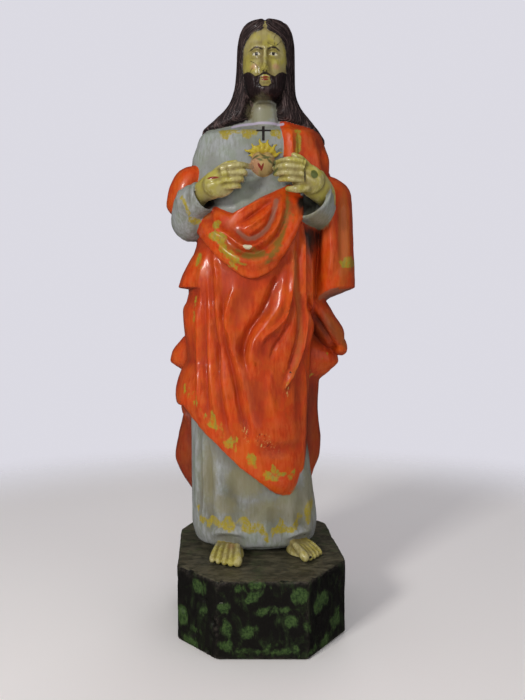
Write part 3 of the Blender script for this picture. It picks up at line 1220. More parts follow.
# Bands as half width and a line of x and height: the mantle's grey-brown lining where it shows, a
# thin gold glaze, and the lilac trim of the collar
LINING_BANDS = [
    (1.9, [(-17, 250), (-12.6, 245.6), (-5.7, 241.9), (1.7, 244.8), (7.7, 250.8), (11.6, 260.4),
           (13.8, 271)]),
]
GLAZE_BANDS = [(1.8, [(28, 232), (28.5, 211.5), (31, 193), (32.5, 170), (30.5, 153), (26, 138)])]
TRIM_BANDS = [(1, [(-20, 332), (-14, 333.5), (-4.5, 334.5), (8, 334.5), (19.5, 334)])]
# Patches as middle, half length, half width and lean: glaze, old grime, olive stains of the tunic
# and the neck, parts of the cape that lie in old shade, and chipped paint
GLAZE = [
    (-2, 228, 9.5, 3, 6), (13, 238, 7.5, 3, 48), (19.5, 254, 9, 2.6, 78), (-22, 235, 6.7, 3.7, -35),
    (67.5, 247.5, 39.5, 5, 90), (63.5, 172, 17.5, 4.2, -55), (-39, 260.5, 3.8, 3, 0), (71, 225, 7, 6, 0),
    (30.5, 318, 11, 3.4, 90),
]
GRIME = [
    (39.5, 257.5, 12, 5.5, -68), (37, 268, 8, 9, 0), (-37, 268, 5.5, 5, 0), (42.5, 246, 8.5, 8.5, 0),
    (41, 236, 4, 7, 0), (51, 177, 16, 1.8, -56), (-23, 50, 7, 9, 0), (-9, 40, 9, 7.5, 0),
    (14, 28.5, 10.5, 5.3, 0), (32.5, 43, 3.8, 13.7, 0), (32, 23.5, 6, 4.6, 0),
]
STAINS = [
    (2, 343, 10, 9, 0), (28, 38, 14, 15, 0), (40, 42, 6, 24, 0), (-10, 58, 15, 12, 0),
    (-38, 62, 6, 24, 0), (4, 34, 16, 9, 0), (-26, 40, 10, 8, 0), (47, 257, 12, 6, -10),
]
SHADE = [(-60, 74, 15, 50, 0), (46, 92, 9, 40, 0), (53, 172, 15, 10, -50), (47, 322, 9, 10, 0)]
CHIPPED = [(-9, 98, 3, 13, 12), (5, 90, 9, 6, -40), (12, 84, 5, 3, -40), (22, 128, 3, 9, 0)]
# Share of the grime that shows on the tunic, and on the sleeves and hands, and how far back it goes
TUNIC_GRIME = 0.32
SLEEVE_GRIME = 0.2
GRIME_BACK = 30
# The dark hollows in the cuffs: their middles, half width and half height, and between which depths
CUFF_HOLLOWS = [(-39, 270.5), (38, 268)]
CUFF_HALF = (9, 8)
CUFF_DEPTHS = (-18, 10)
# How far back the shade begins and how dark it is
SHADE_FRONT = -3
SHADE_SHARE = 0.5
# Heights: the neck, where bare skin shows only in the face, the foot of the collar's trim and of the
# neck's stain, the foot of the face's marks, and the tops of the beard and the brows
NECK_HEIGHTS = (318, 352)
TRIM_FOOT = 326
NECK_STAIN_FOOT = 330
FACE_FOOT = 338
BEARD_TOP = 382
BROW_TOP = 410
# How far back the face's marks reach, and the place and heights of the lining under the arm's fold
FACE_BACK = 14
FOLD_LINING = 44
FOLD_LINING_HEIGHTS = (188, 207)
# Small marks of the front as middle, half length, half width and lean. Those of the face and the
# brows are measured from its middle line and lie on both sides of it.
EYE = (EYE_OFFSET, EYE_HEIGHT - 0.15, 2.7, 1.0, 0)
FACE_MARKS = {
    "pale": [(EYE_OFFSET, EYE_HEIGHT, 3.2, 1.35, 0)],
    "red": [(0, MOUTH_HEIGHT + 0.75, 3.5, 0.6, 0), (0, MOUTH_HEIGHT - 1.1, 2.7, 0.8, 0)],
    "blush": [(8.6, NOSE_FOOT + 4, 2.6, 2, 0)],
    "dark": [(EYE_OFFSET - 0.1, EYE_HEIGHT + 0.05, 1.15, 1.15, 0),
             (1.35, NOSE_FOOT - 0.2, 0.75, 0.45, 0)],
}
BROWS = [(3.4, BROW + 0.5, 2, 0.6, 20), (6.6, BROW + 1.3, 2.6, 0.75, 4),
         (9.8, BROW + 0.5, 2.2, 0.55, -24)]
FRONT_MARKS = {
    "pale": [(-7.1, 235.2, 3.2, 1.8, 0), (-9.5, 236, 2, 1, 20)],
    "red": [(-32.6, 285.4, 4.4, 0.9, 4), (1.4, 297.4, 2.6, 0.9, -60), (3.4, 296.6, 3, 0.8, 70)],
    "blush": [(-20.8, 10, 2, 1, 0), (-2.6, 298, 4, 8.5, 0)],
    "green": [(41.5, 288, 2.6, 3.2, 20), (-1.5, 304.6, 3.4, 0.9, 24), (1.5, 302, 3.2, 0.8, -20),
              (6.4, 303.6, 3.4, 0.9, 12), (9.4, 300.8, 2.6, 0.9, -40), (12.2, 298, 1.2, 4, 0),
              (4.6, 305.4, 3, 0.8, -30), (11.6, 289.5, 0.9, 5, -40)],
    "dark": [(34.6, 287, 5.6, 0.5, 90), (39.6, 3.4, 1.2, 0.9, 0), (25, 141.6, 3.6, 0.8, 5),
             (36.5, 12.5, 1.6, 0.6, 20)],
}
# Scratches in the paint of the head, from the middle of the face, and their half width
SCRATCHES = [[(12.5, 395), (9.5, 391), (6.5, 389.6), (2, 391.5)], [(9, 399), (7, 395.5), (7.6, 390)],
             [(-11, 379), (-7, 375.4), (-4.5, 371.8)], [(-12, 370.4), (-9.6, 373.2)]]
SCRATCH_WIDTH = 0.26
# The cross on the breast, as left, right, foot and top of its two bars
CROSS = [(3.2, 5.3, 319.5, 332), (-1.2, 10.2, 327.1, 328.9)]
# Height over which the tunic is cleaner and its share of dirt there, and how much more the skin has
CHEST = 255
CHEST_DIRT = 0.3
SKIN_DIRT = 1.7
# Depths in mm at which a hollow of the surface has all its dirt, and the wider ones their shade
HOLLOW_DEPTH = 0.2
DEEP_DEPTH = 2.4
# How far a point that no part is near to is from all of them, and how far that is looked for
DRAWN_OUT = 3.5
PART_REACH = 4


def dabs_at(x, z, dabs, grow=1.0):
    """How far inside the nearest dab a point lies, in mm"""
    best = np.full(len(x), float(NO_MARK))
    for cx, cz, long, wide, lean in dabs:
        a = math.radians(lean)
        along = (x - cx) * math.cos(a) + (z - cz) * math.sin(a)
        across = (z - cz) * math.cos(a) - (x - cx) * math.sin(a)
        r = np.hypot(along / long, across / wide) / grow
        best = np.maximum(best, (1 - r) * min(long, wide) * 1.2 * grow)
    return best


def banded(x, z, bands):
    """How far inside the nearest band a point lies"""
    return np.max([half - off_curve(x, z, line) for half, line in bands], axis=0)


def barred(x, z, bars):
    """How far inside the nearest bar a point lies"""
    return np.max([np.min([x - left, right - x, z - low, high - z], axis=0)
                   for left, right, low, high in bars], axis=0)


def masked(where, value):
    return np.where(where, value, NO_MARK)


def mark(piece, name, values):
    """Keeps one number for each point of a piece, for its paint"""
    kept = piece.data.attributes.new(name, "FLOAT", "POINT")
    kept.data.foreach_set("value", np.ascontiguousarray(values, np.float32))


def sunk(co, normal, edges, rounds, depth):
    """How far each point lies below its surroundings, 1 at a depth and -1 on a ridge as high"""
    even = np.column_stack([averaged(axis, edges, rounds) for axis in co.T])
    out = averaged(np.einsum("ij,ij->i", even - co, normal), edges, 2)
    return np.clip((out - np.median(out)) / depth, -1, 1)


def rubbed(hollow):
    """How bare a point is rubbed, on ridges"""
    return ease((-hollow - 0.15) / 0.75)


def mark_coats(figure, coats, z, edges):
    """How much nearer each point is to the parts of one coat than to those of the others"""
    for name in ("cloth", "hair", "heart", "blaze", "skin"):
        others = np.min([v for k, v in coats.items() if k != name], axis=0)
        value = averaged(others - coats[name], edges, 1)
        if name == "skin":
            neck = np.minimum(value, z - NECK_HEIGHTS[1])
            value = np.where(between(z, NECK_HEIGHTS), neck, value)
        mark(figure, name, value)


def mark_cloth(figure, coats, co):
    """Gold, glaze, stains, the collar's trim and chipped paint, all in front"""
    x, y, z = co.T
    front = y < MANTLE_TURN
    gold = np.maximum(dabs_at(x, z, MANTLE_GOLD, 1.2), dabs_at(x, z, TUNIC_GOLD, 1.3))
    glaze = np.maximum(banded(x, z, GLAZE_BANDS), dabs_at(x, z, GLAZE))
    stained = (coats["tunic"] < PAINT_REACH) | (z > NECK_STAIN_FOOT)
    mark(figure, "gold", masked(front, gold))
    mark(figure, "olive", masked(front, dabs_at(x, z, MANTLE_OLIVE)))
    mark(figure, "glaze", masked(front & (coats["cloth"] < PAINT_REACH), glaze))
    mark(figure, "stain", masked(front & stained, dabs_at(x, z, STAINS)))
    mark(figure, "trim", masked(front & (z > TRIM_FOOT), banded(x, z, TRIM_BANDS)))
    mark(figure, "chipped", masked(front, dabs_at(x, z, CHIPPED)))


def grime_of(far, coats, co, normal):
    """Old grime in front, the dark hollows of the cuffs, and the shade on the cape"""
    x, y, z = co.T
    grime = ease(dabs_at(x, z, GRIME) / 3 + 0.35)
    grime *= np.where(coats["tunic"] < DIRT_REACH, TUNIC_GRIME, 1)
    grime[(far["sleeves"] < PAINT_REACH) | (far["hands"] < PAINT_REACH)] *= SLEEVE_GRIME
    inner = (far["hands"] > PAINT_REACH) & between(y, CUFF_DEPTHS)
    wide, high = CUFF_HALF
    for cx, cz in CUFF_HOLLOWS:
        deep = ease(2.4 - 2.2 * np.hypot((x - cx) / wide, (z - cz) / high))
        grime = np.maximum(grime, np.where(inner, deep, 0))
    shade = ease(dabs_at(x, z, SHADE) / 4 + 0.4) * ease((y - SHADE_FRONT) / 6)
    shade *= SHADE_SHARE * (coats["cloth"] < PAINT_REACH) * ease(1.2 - normal[:, 1] * 3)
    return np.maximum(np.where(y < GRIME_BACK, grime, 0), shade)


def lining_of(co, normal):
    """The lining in the swag, and under the arm's fold"""
    x, y, z = co.T
    swag = masked(y < MANTLE_TURN, banded(x, z, LINING_BANDS))
    below = between(z, FOLD_LINING_HEIGHTS) & (x > FOLD_LINING) & (normal[:, 2] < -0.35)
    under = masked(below, 2)
    return np.maximum(swag, under)


def mark_details(figure, coats, co):
    """The features of the face, the beard, the wounds, the wreath's leaves and the cross"""
    x, y, z = co.T
    side, front, head = x - HEAD_MIDDLE, y < MANTLE_TURN, (z > FACE_FOOT) & (y < FACE_BACK)
    off = np.abs(side)
    for name, dabs in FRONT_MARKS.items():
        value = masked(z < FACE_FOOT, dabs_at(x, z, dabs))
        face = dabs_at(off, z, FACE_MARKS.get(name, []))
        if name == "dark":
            rim = np.minimum(dabs_at(off, z, FACE_MARKS["pale"]), -dabs_at(off, z, [EYE]))
            scratch = banded(side, z, [(SCRATCH_WIDTH, line) for line in SCRATCHES])
            face = np.max([face, rim, scratch], axis=0)
            value = np.maximum(value, barred(x, z, CROSS))
        if name in ("blush", "green"):
            value = masked(coats["tunic"] >= PAINT_REACH, value)
        mark(figure, name, masked(front, np.maximum(value, masked(head, face))))
    hairy = np.maximum(dabs_at(off, z, BROWS), masked(z < BEARD_TOP, hairy_at(side, z)))
    mark(figure, "beard", masked(head & (z < BROW_TOP), hairy))
    mark(figure, "strand", strand_of(co))


def mark_wear(figure, coats, co, normal, edges):
    """Dirt in the hollows and bare ridges"""
    hollow = sunk(co, normal, edges, 5, HOLLOW_DEPTH)
    hollow[coats["skin"] < DIRT_REACH] *= SKIN_DIRT
    deep = sunk(co, normal, edges, 60, DEEP_DEPTH)
    soil = np.clip(ease((hollow - 0.05) / 0.7) + 0.9 * ease((deep - 0.1) / 0.8), 0, 1)
    soil[(co[:, 2] > CHEST) & (coats["tunic"] < DIRT_REACH)] *= CHEST_DIRT
    mark(figure, "soil", averaged(soil, edges, 2))
    mark(figure, "ridge", rubbed(hollow))


def paint_marks(figure, trees):
    """Where each colour of the figure lies, in mm inside its edge, and where dirt and wear sit"""
    co, normal, edges = points_of(figure), normals_of(figure), edges_of(figure)
    far = {name: near_group(some, co, PART_REACH) for name, some in trees.items()}
    # The corner that was drawn out at the side is far from every part, and it is cloth
    far["cloth"][np.min(list(far.values()), axis=0) > DRAWN_OUT] = 0
    coats = {
        "cloth": far["cloth"], "tunic": np.minimum(far["tunic"], far["sleeves"]),
        "hair": far["hair"], "heart": far["heart"], "blaze": far["flames"],
        "skin": np.min([far["face"], far["hands"], far["feet"]], axis=0),
    }
    mark_coats(figure, coats, co[:, 2], edges)
    mark_cloth(figure, coats, co)
    mark(figure, "grime", averaged(grime_of(far, coats, co, normal), edges, 1))
    mark(figure, "lining", averaged(lining_of(co, normal), edges, 1))
    mark_details(figure, coats, co)
    mark_wear(figure, coats, co, normal, edges)


def fill(tree, node, inputs):
    """Joins inputs of a node, or sets their values"""
    for name, source in inputs.items():
        if isinstance(source, bpy.types.NodeSocket):
            tree.links.new(source, node.inputs[name])
        else:
            node.inputs[name].default_value = source


def add(tree, kind, inputs=None, **values):
    """One shader node, with its values set and its inputs joined"""
    node = tree.nodes.new(kind)
    for name, value in values.items():
        setattr(node, name, value)
    fill(tree, node, inputs or {})
    return node


def calc(tree, operation, a, b=0.0, c=0.0, clamp=False):
    node = add(tree, "ShaderNodeMath", {0: a, 1: b, 2: c}, operation=operation, use_clamp=clamp)
    return node.outputs[0]


def times(tree, a, b, clamp=False):
    return calc(tree, "MULTIPLY", a, b, clamp=clamp)


def rest_of(tree, share):
    return calc(tree, "SUBTRACT", 1.0, share)


def blend(tree, share, a, b):
    """Two colours mixed"""
    return add(tree, "ShaderNodeMix", {0: share, 6: a, 7: b}, data_type="RGBA").outputs[2]


def ramp(tree, value, low, high, a=0.0, b=1.0):
    """A value eased from a to b between two limits"""
    return add(tree, "ShaderNodeMapRange", {0: value, 1: low, 2: high, 3: a, 4: b},
               interpolation_type="SMOOTHSTEP").outputs[0]


def cloud(tree, where, size, detail, rough, warp=0.0):
    """Soft noise whose blots are about size metres across"""
    return add(tree, "ShaderNodeTexNoise", {
        "Vector": where, "Scale": 1 / size, "Detail": detail, "Roughness": rough,
        "Distortion": warp}).outputs[0]


def stretched(tree, where, scale, turn=(0, 0, 0)):
    return add(tree, "ShaderNodeMapping", {
        "Vector": where, "Rotation": turn, "Scale": scale}).outputs[0]


def place_in(tree):
    return add(tree, "ShaderNodeTexCoord").outputs["Object"]


def marked(tree, name):
    return add(tree, "ShaderNodeAttribute", attribute_name=name).outputs["Fac"]


def bumped(tree, height, strength, distance):
    return add(tree, "ShaderNodeBump", {
        "Height": height, "Strength": strength, "Distance": distance}).outputs[0]


def use(tree, made, inputs):
    """A node group placed in a tree"""
    return add(tree, "ShaderNodeGroup", inputs, node_tree=made).outputs


def group(name, inputs, outputs):
    """An empty node group; its sockets are given as name and kind, with a start value"""
    tree = bpy.data.node_groups.new(name, "ShaderNodeTree")
    for label, kind, value in inputs:
        socket = tree.interface.new_socket(label, in_out="INPUT", socket_type="NodeSocket" + kind)
        if value is not None:
            socket.default_value = value
    for label, kind in outputs:
        tree.interface.new_socket(label, in_out="OUTPUT", socket_type="NodeSocket" + kind)
    return tree, tree.nodes.new("NodeGroupInput").outputs, tree.nodes.new("NodeGroupOutput")


def new_material(name):
    """A fresh material, its node tree and its shader"""
    material = bpy.data.materials.new(name)
    material.use_nodes = True
    return material, material.node_tree, material.node_tree.nodes["Principled BSDF"]


def make_edge():
    """The uneven brushed edge of a coat, from how far inside it a point lies"""
    tree, given, out = group("brushed edge", [
        ("Mark", "Float", 0.0), ("Grain", "Float", 0.5), ("Wander", "Float", 0.5),
        ("Softness", "Float", 0.25)], [("Mask", "Float")])
    moved = calc(tree, "MULTIPLY_ADD", calc(tree, "SUBTRACT", given["Grain"], 0.5),
                 times(tree, given["Wander"], 2.0), given["Mark"])
    low = times(tree, given["Softness"], -1.0)
    fill(tree, out, {"Mask": ramp(tree, moved, low, given["Softness"])})
    return tree


def make_coat():
    """One coat laid over others: its own colour, the colour in its shade and where it is rubbed"""
    tree, given, out = group("coat", [
        *(("Under " + n, "Color", None) for n in COAT_COLORS),
        *((n, "Color", None) for n in COAT_COLORS), ("Mask", "Float", 0.0),
    ], [(n, "Color") for n in COAT_COLORS])
    for n in COAT_COLORS:
        fill(tree, out, {n: blend(tree, given["Mask"], given["Under " + n], given[n])})
    return tree


def make_brushwork():
    """Hand-brushed paint: how shaded and how rubbed it is from its faint strokes and clouds, from
    dirt and from wear, with its gloss"""
    tree, given, out = group("brushwork", [
        ("Place", "Vector", None), ("Stroke", "Float", 0.5), ("Soil", "Float", 0.0),
        ("Ridge", "Float", 0.0), ("Dirt", "Float", 0.75), ("Wear", "Float", 0.42)],
        [("Shaded", "Float"), ("Worn", "Float"), ("Gloss", "Float")])
    stroke = given["Stroke"]
    broad = cloud(tree, given["Place"], 0.028, 4, 0.55)
    dirt = times(tree, given["Soil"], ramp(tree, stroke, 0.2, 0.6, 0.55, 1.0))
    dirt = times(tree, dirt, given["Dirt"])
    faint = calc(tree, "ADD", ramp(tree, broad, 0.38, 0.72, 0.0, 0.42),
                 ramp(tree, stroke, 0.5, 0.8, 0.0, 0.35))
    clean = times(tree, rest_of(tree, dirt), rest_of(tree, faint))
    worn = times(tree, given["Ridge"], ramp(tree, stroke, 0.6, 0.35))
    fill(tree, out, {
        "Shaded": calc(tree, "SUBTRACT", 1.0, clean, clamp=True),
        "Worn": times(tree, worn, given["Wear"], clamp=True),
        "Gloss": calc(tree, "ADD", broad, dirt)})
    return tree


def make_flakes():
    """Flakes that came off old paint, and the dark pits between them"""
    tree, given, out = group("flakes", [("Mark", "Float", 0.0), ("Place", "Vector", None)],
                             [("Bare", "Float"), ("Pit", "Float")])
    speck = cloud(tree, stretched(tree, given["Place"], (1, 1, 0.5), (0, 0.3, 0)), 0.0016, 3, 0.7)
    near_mark = ramp(tree, given["Mark"], -1.0, 3.0)
    fill(tree, out, {
        "Bare": times(tree, ramp(tree, speck, 0.58, 0.64), near_mark),
        "Pit": times(tree, ramp(tree, speck, 0.40, 0.34), near_mark)})
    return tree


# Colours of each coat: as painted, in its shade and dirt, and where it is rubbed; and the other hue
# that its first colour drifts to
COAT_COLORS = ("Color", "Shade", "Rubbed")
TUNIC_COLORS = ((0.28, 0.295, 0.28, 1), (0.12, 0.108, 0.075, 1), (0.38, 0.395, 0.41, 1))
TUNIC_DRIFT = (0.255, 0.285, 0.235, 1)
MANTLE_COLORS = ((0.57, 0.054, 0.003, 1), (0.25, 0.017, 0.002, 1), (0.59, 0.11, 0.026, 1))
MANTLE_DRIFT = (0.56, 0.080, 0.004, 1)
SKIN_COLORS = ((0.38, 0.33, 0.13, 1), (0.13, 0.09, 0.025, 1), (0.60, 0.55, 0.30, 1))
SKIN_DRIFT = (0.41, 0.36, 0.07, 1)
HEART_COLORS = ((0.42, 0.30, 0.11, 1), (0.20, 0.10, 0.035, 1), (0.56, 0.48, 0.22, 1))
FLAME_COLORS = ((0.44, 0.34, 0.025, 1), (0.22, 0.13, 0.012, 1), (0.52, 0.45, 0.10, 1))
HAIR_COLORS = ((0.019, 0.010, 0.010, 1), (0.006, 0.004, 0.004, 1), (0.125, 0.080, 0.074, 1))
# Gold where it is thick and thin, the grime's colour, and the ground under chipped paint
GOLD = (0.36, 0.28, 0.01, 1)
GOLD_THIN = (0.29, 0.23, 0.03, 1)
GRIME_DARK = (0.014, 0.010, 0.008, 1)
GROUND = (0.50, 0.33, 0.10, 1)
# Thin marks over the coats, in the order of painting: name, how far their edge wanders in mm and how
# soft it is, how strong they are, and colour; gold has a strength and a colour of its own
THIN_MARKS = [
    ("stain", 5.0, 4.0, 0.6, (0.215, 0.19, 0.09, 1)),
    ("lining", 0.8, 0.8, 0.6, (0.20, 0.125, 0.08, 1)),
    ("glaze", 1.6, 1.8, 0.55, (0.36, 0.115, 0.018, 1)),
    ("olive", 2.4, 1.4, 0.9, (0.18, 0.11, 0.015, 1)),
    ("trim", 0.5, 0.4, 0.9, (0.42, 0.37, 0.47, 1)),
    ("gold", 1.9, 0.6, None, None),
    ("pale", 0.15, 0.12, 1.0, (0.58, 0.53, 0.36, 1)),
    ("blush", 1.0, 1.6, 0.5, (0.42, 0.16, 0.12, 1)),
    ("red", 0.15, 0.2, 1.0, (0.20, 0.022, 0.014, 1)),
    ("green", 0.7, 0.5, 0.85, (0.045, 0.075, 0.022, 1)),
    ("dark", 0.12, 0.15, 1.0, (0.016, 0.012, 0.011, 1)),
]


def combed(tree, place, hair):
    """The fine strands in the paint of the hair"""
    split = add(tree, "ShaderNodeSeparateXYZ", {0: place}).outputs
    across = add(tree, "ShaderNodeCombineXYZ", {
        0: times(tree, marked(tree, "strand"), 1.5), 1: times(tree, split[2], 70.0),
        2: times(tree, split[1], 20.0)}).outputs[0]
    comb = cloud(tree, across, 1.0, 3, 0.65)
    return times(tree, ramp(tree, comb, 0.5, 0.66, 0.0, 0.85), hair), times(tree, comb, hair)


def enamel(edge, coat, brushwork, flakes):
    """The paint of the figure, coat by coat"""
    material, tree, shader = new_material("painted carving")
    place = place_in(tree)
    grain = cloud(tree, place, 0.003, 4, 0.65)
    stroke = cloud(tree, stretched(tree, place, (1, 1, 0.25)), 0.0022, 4, 0.6)
    drift = ramp(tree, cloud(tree, place, 0.012, 4, 0.6), 0.42, 0.6)

    def reach(name, wander, soft):
        return use(tree, edge, {"Mark": marked(tree, name), "Grain": grain, "Wander": wander,
                                "Softness": soft})[0]

    def drifting(colors, other):
        return (blend(tree, drift, colors[0], other), *colors[1:])

    # Large coats over the tunic's, each with its colours in shade and where it is rubbed
    hair, mantle, skin = reach("hair", 0.2, 0.25), reach("cloth", 0.3, 0.25), reach("skin", 0.15, 0.2)
    layers = drifting(TUNIC_COLORS, TUNIC_DRIFT)
    for colors, mask in (
        (drifting(MANTLE_COLORS, MANTLE_DRIFT), mantle), (drifting(SKIN_COLORS, SKIN_DRIFT), skin),
        (HEART_COLORS, reach("heart", 0.1, 0.2)), (FLAME_COLORS, reach("blaze", 0.1, 0.2)),
        (HAIR_COLORS, reach("beard", 0.5, 0.45)), (HAIR_COLORS, hair),
    ):
        under = {"Under " + n: layer for n, layer in zip(COAT_COLORS, layers)}
        layers = use(tree, coat, {**under, **dict(zip(COAT_COLORS, colors)), "Mask": mask})
    work = use(tree, brushwork, {"Place": place, "Stroke": stroke, "Soil": marked(tree, "soil"),
                                 "Ridge": marked(tree, "ridge")})
    color = blend(tree, work["Shaded"], layers["Color"], layers["Shade"])
    color = blend(tree, work["Worn"], color, layers["Rubbed"])

    gold = blend(tree, ramp(tree, stroke, 0.4, 0.6), GOLD, GOLD_THIN)
    broken = times(tree, ramp(tree, stroke, 0.36, 0.5, 0.5, 1.0),
                   ramp(tree, cloud(tree, place, 0.0018, 3, 0.7), 0.38, 0.5, 0.5, 1.0))
    for name, wander, soft, strength, tint in THIN_MARKS:
        mask = times(tree, reach(name, wander, soft), broken if name == "gold" else strength)
        color = blend(tree, mask, color, gold if name == "gold" else tint)
    color = blend(tree, marked(tree, "grime"), color, GRIME_DARK)
    chipped = use(tree, flakes, {"Mark": marked(tree, "chipped"), "Place": place})
    color = blend(tree, chipped["Pit"], color, GRIME_DARK)
    color = blend(tree, chipped["Bare"], color, GROUND)
    strands, comb = combed(tree, place, hair)

    # The tunic and the hair are less glossy than the mantle and the skin
    matte = times(tree, rest_of(tree, mantle), rest_of(tree, skin))
    gloss = ramp(tree, work["Gloss"], 0.35, 1.1, 0.32, 0.6)
    height = calc(tree, "MULTIPLY_ADD", comb, 2.0, stroke)
    fill(tree, shader, {
        "Base Color": blend(tree, strands, color, HAIR_COLORS[2]),
        "Roughness": calc(tree, "MULTIPLY_ADD", matte, 0.2, gloss),
        "Coat Weight": calc(tree, "MULTIPLY_ADD", matte, -0.16, 0.25),
        "Normal": bumped(tree, height, 0.35, 0.00012),
        "Specular IOR Level": 0.3, "Coat Roughness": 0.14})
    return material


# Corner cuts of the plinth, and how far its front leans out of line with its back
FRONT_LEFT_CUT = (31, 32)
FRONT_RIGHT_CUT = (31, 44)
BACK_RIGHT_CUT = (6, 8)
BACK_LEFT_CUT = (9, 25)
PLINTH_SKEW = 7
WORN_EDGE = 1.9
# Marks of the plane and dents on its sides, as height, size and seed
PLANE_MARKS = [(0.6, 24, 3), (0.22, 8, 9)]
DENTS = [(1, 7.3, 5)]
# Its colours: two blacks, where it is rubbed, two greens, the two of its brushed top, and the bare
# ground in its chips
BLOCK_BLACK = ((0.0085, 0.0075, 0.006, 1), (0.004, 0.0035, 0.003, 1))
BLOCK_RUBBED = (0.075, 0.062, 0.048, 1)
BLOCK_GREEN = ((0.020, 0.044, 0.011, 1), (0.050, 0.090, 0.024, 1))
BLOCK_TOP = ((0.036, 0.034, 0.021, 1), (0.110, 0.099, 0.062, 1))
BLOCK_BARE = (0.5, 0.48, 0.42, 1)
# Columns of the photo between which the plinth's front side is seen, and how many mm the sides
# beyond them go back for each pixel
FRONT_COLUMNS = (215, 303)
SIDE_SLOPE = 0.9


def on_block(dabs):
    """Dabs on the front sides of the plinth, from their middle, half length, half width and lean in
    the photo"""
    out = []
    for u, v, long, wide, lean in dabs:
        beyond = max(FRONT_COLUMNS[0] - u, u - FRONT_COLUMNS[1], 0)
        depth = SIDE_SLOPE * beyond - PLINTH_DEPTH / 2
        out.append((*seen_at(u, v, depth), long * pixel_at(depth), wide * pixel_at(depth), lean))
    return out


BLOCK_DABS = on_block([
    (257.5, 585, 7.5, 4.5, 0), (253.7, 597, 11, 3.2, 32), (298.7, 596, 10, 8, 10),
    (198.7, 586, 8, 6, 0), (223.7, 607.5, 5, 4, 0), (203.7, 610, 4, 4, 0), (182.5, 615, 6, 8, 0),
    (248.7, 632.5, 8, 6.5, 10), (226, 630, 4.5, 8, 0), (192.5, 642, 10, 6, 0),
    (225, 646, 8, 6, 0), (272.5, 646, 8, 2.5, 20), (280, 652, 17, 3, 2), (290, 621, 9, 6, 0),
    (320, 602, 8, 10, 0), (325, 640, 8, 6, 20), (306, 625, 3.5, 6, 0), (195, 629, 6, 3.5, 0),
    (242, 651, 7, 3.5, 0), (285, 611, 5, 4, 0), (335, 622, 5, 8, 0), (265, 612, 7, 2.4, 10),
    (310, 650, 9, 3, 15), (238, 590, 5, 3, 0),
])
BLOCK_CHIPS = [(-25.5, 41, 1.7, 0.8, 10), (21, 10, 1.2, 0.6, 40)]
# Depth behind which the dabs aren't those of the photo
BLOCK_TURN = -25


def plinth_corners():
    w, d = PLINTH_WIDTH / 2, PLINTH_DEPTH / 2
    return [
        (-w + PLINTH_SKEW + FRONT_LEFT_CUT[0], -d), (w - FRONT_RIGHT_CUT[0], -d),
        (w, -d + FRONT_RIGHT_CUT[1]), (w - PLINTH_SKEW, d - BACK_RIGHT_CUT[1]),
        (w - PLINTH_SKEW - BACK_RIGHT_CUT[0], d), (-w + BACK_LEFT_CUT[0], d),
        (-w, d - BACK_LEFT_CUT[1]), (-w + PLINTH_SKEW, -d + FRONT_LEFT_CUT[1]),
    ]


def plinth():
    """The block under the figure, with worn edges and sides that a plane left a little uneven"""
    deselect()
    bpy.ops.mesh.primitive_cylinder_add(vertices=8, radius=50, depth=PLINTH_HEIGHT)
    piece = bpy.context.object
    piece.name = piece.data.name = "carved-plinth"
    co = points_of(piece)
    turn = np.mod(np.arctan2(co[:, 1], co[:, 0]) + math.radians(112.5 + 0.1), 2 * math.pi)
    corner = np.asarray(plinth_corners())[np.floor(turn / (math.pi / 4)).astype(int) % 8]
    set_points(piece, np.column_stack([corner, np.where(co[:, 2] > 0, PLINTH_HEIGHT, 0)]))
    edit(piece, bpy.ops.mesh.normals_make_consistent, inside=False)
    modify(piece, "BEVEL", width=WORN_EDGE, segments=3, limit_method="ANGLE")
    modify(piece, "REMESH", mode="VOXEL", voxel_size=1.0)
    co, normal = points_of(piece), normals_of(piece)
    lift = uneven(co, PLANE_MARKS)
    dent = np.clip(uneven(co, DENTS) - 0.3, 0, 1)
    worn = np.clip(0.985 - np.abs(normal).max(1), 0, 0.3) * 4
    lift -= dent * (0.6 + 3.4 * worn)
    lift[co[:, 2] < 1] *= 0.1
    set_points(piece, co + normal * (lift - 0.15)[:, None])
    modify(piece, "DECIMATE", ratio=0.45)
    return piece


def block_marks(block):
    """Where the plinth is rubbed, its green dabs, made up behind, and its chips"""
    co, normal = points_of(block), normals_of(block)
    x, y, z = co.T
    mark(block, "ridge", rubbed(sunk(co, normal, edges_of(block), 5, 0.5)))
    made_up = 14 * (grain_noise(co, 11, 5) - 0.22)
    mark(block, "green", np.where(y < BLOCK_TURN, dabs_at(x, z, BLOCK_DABS), made_up))
    mark(block, "chip", masked(y < 0, dabs_at(x, z, BLOCK_CHIPS)))


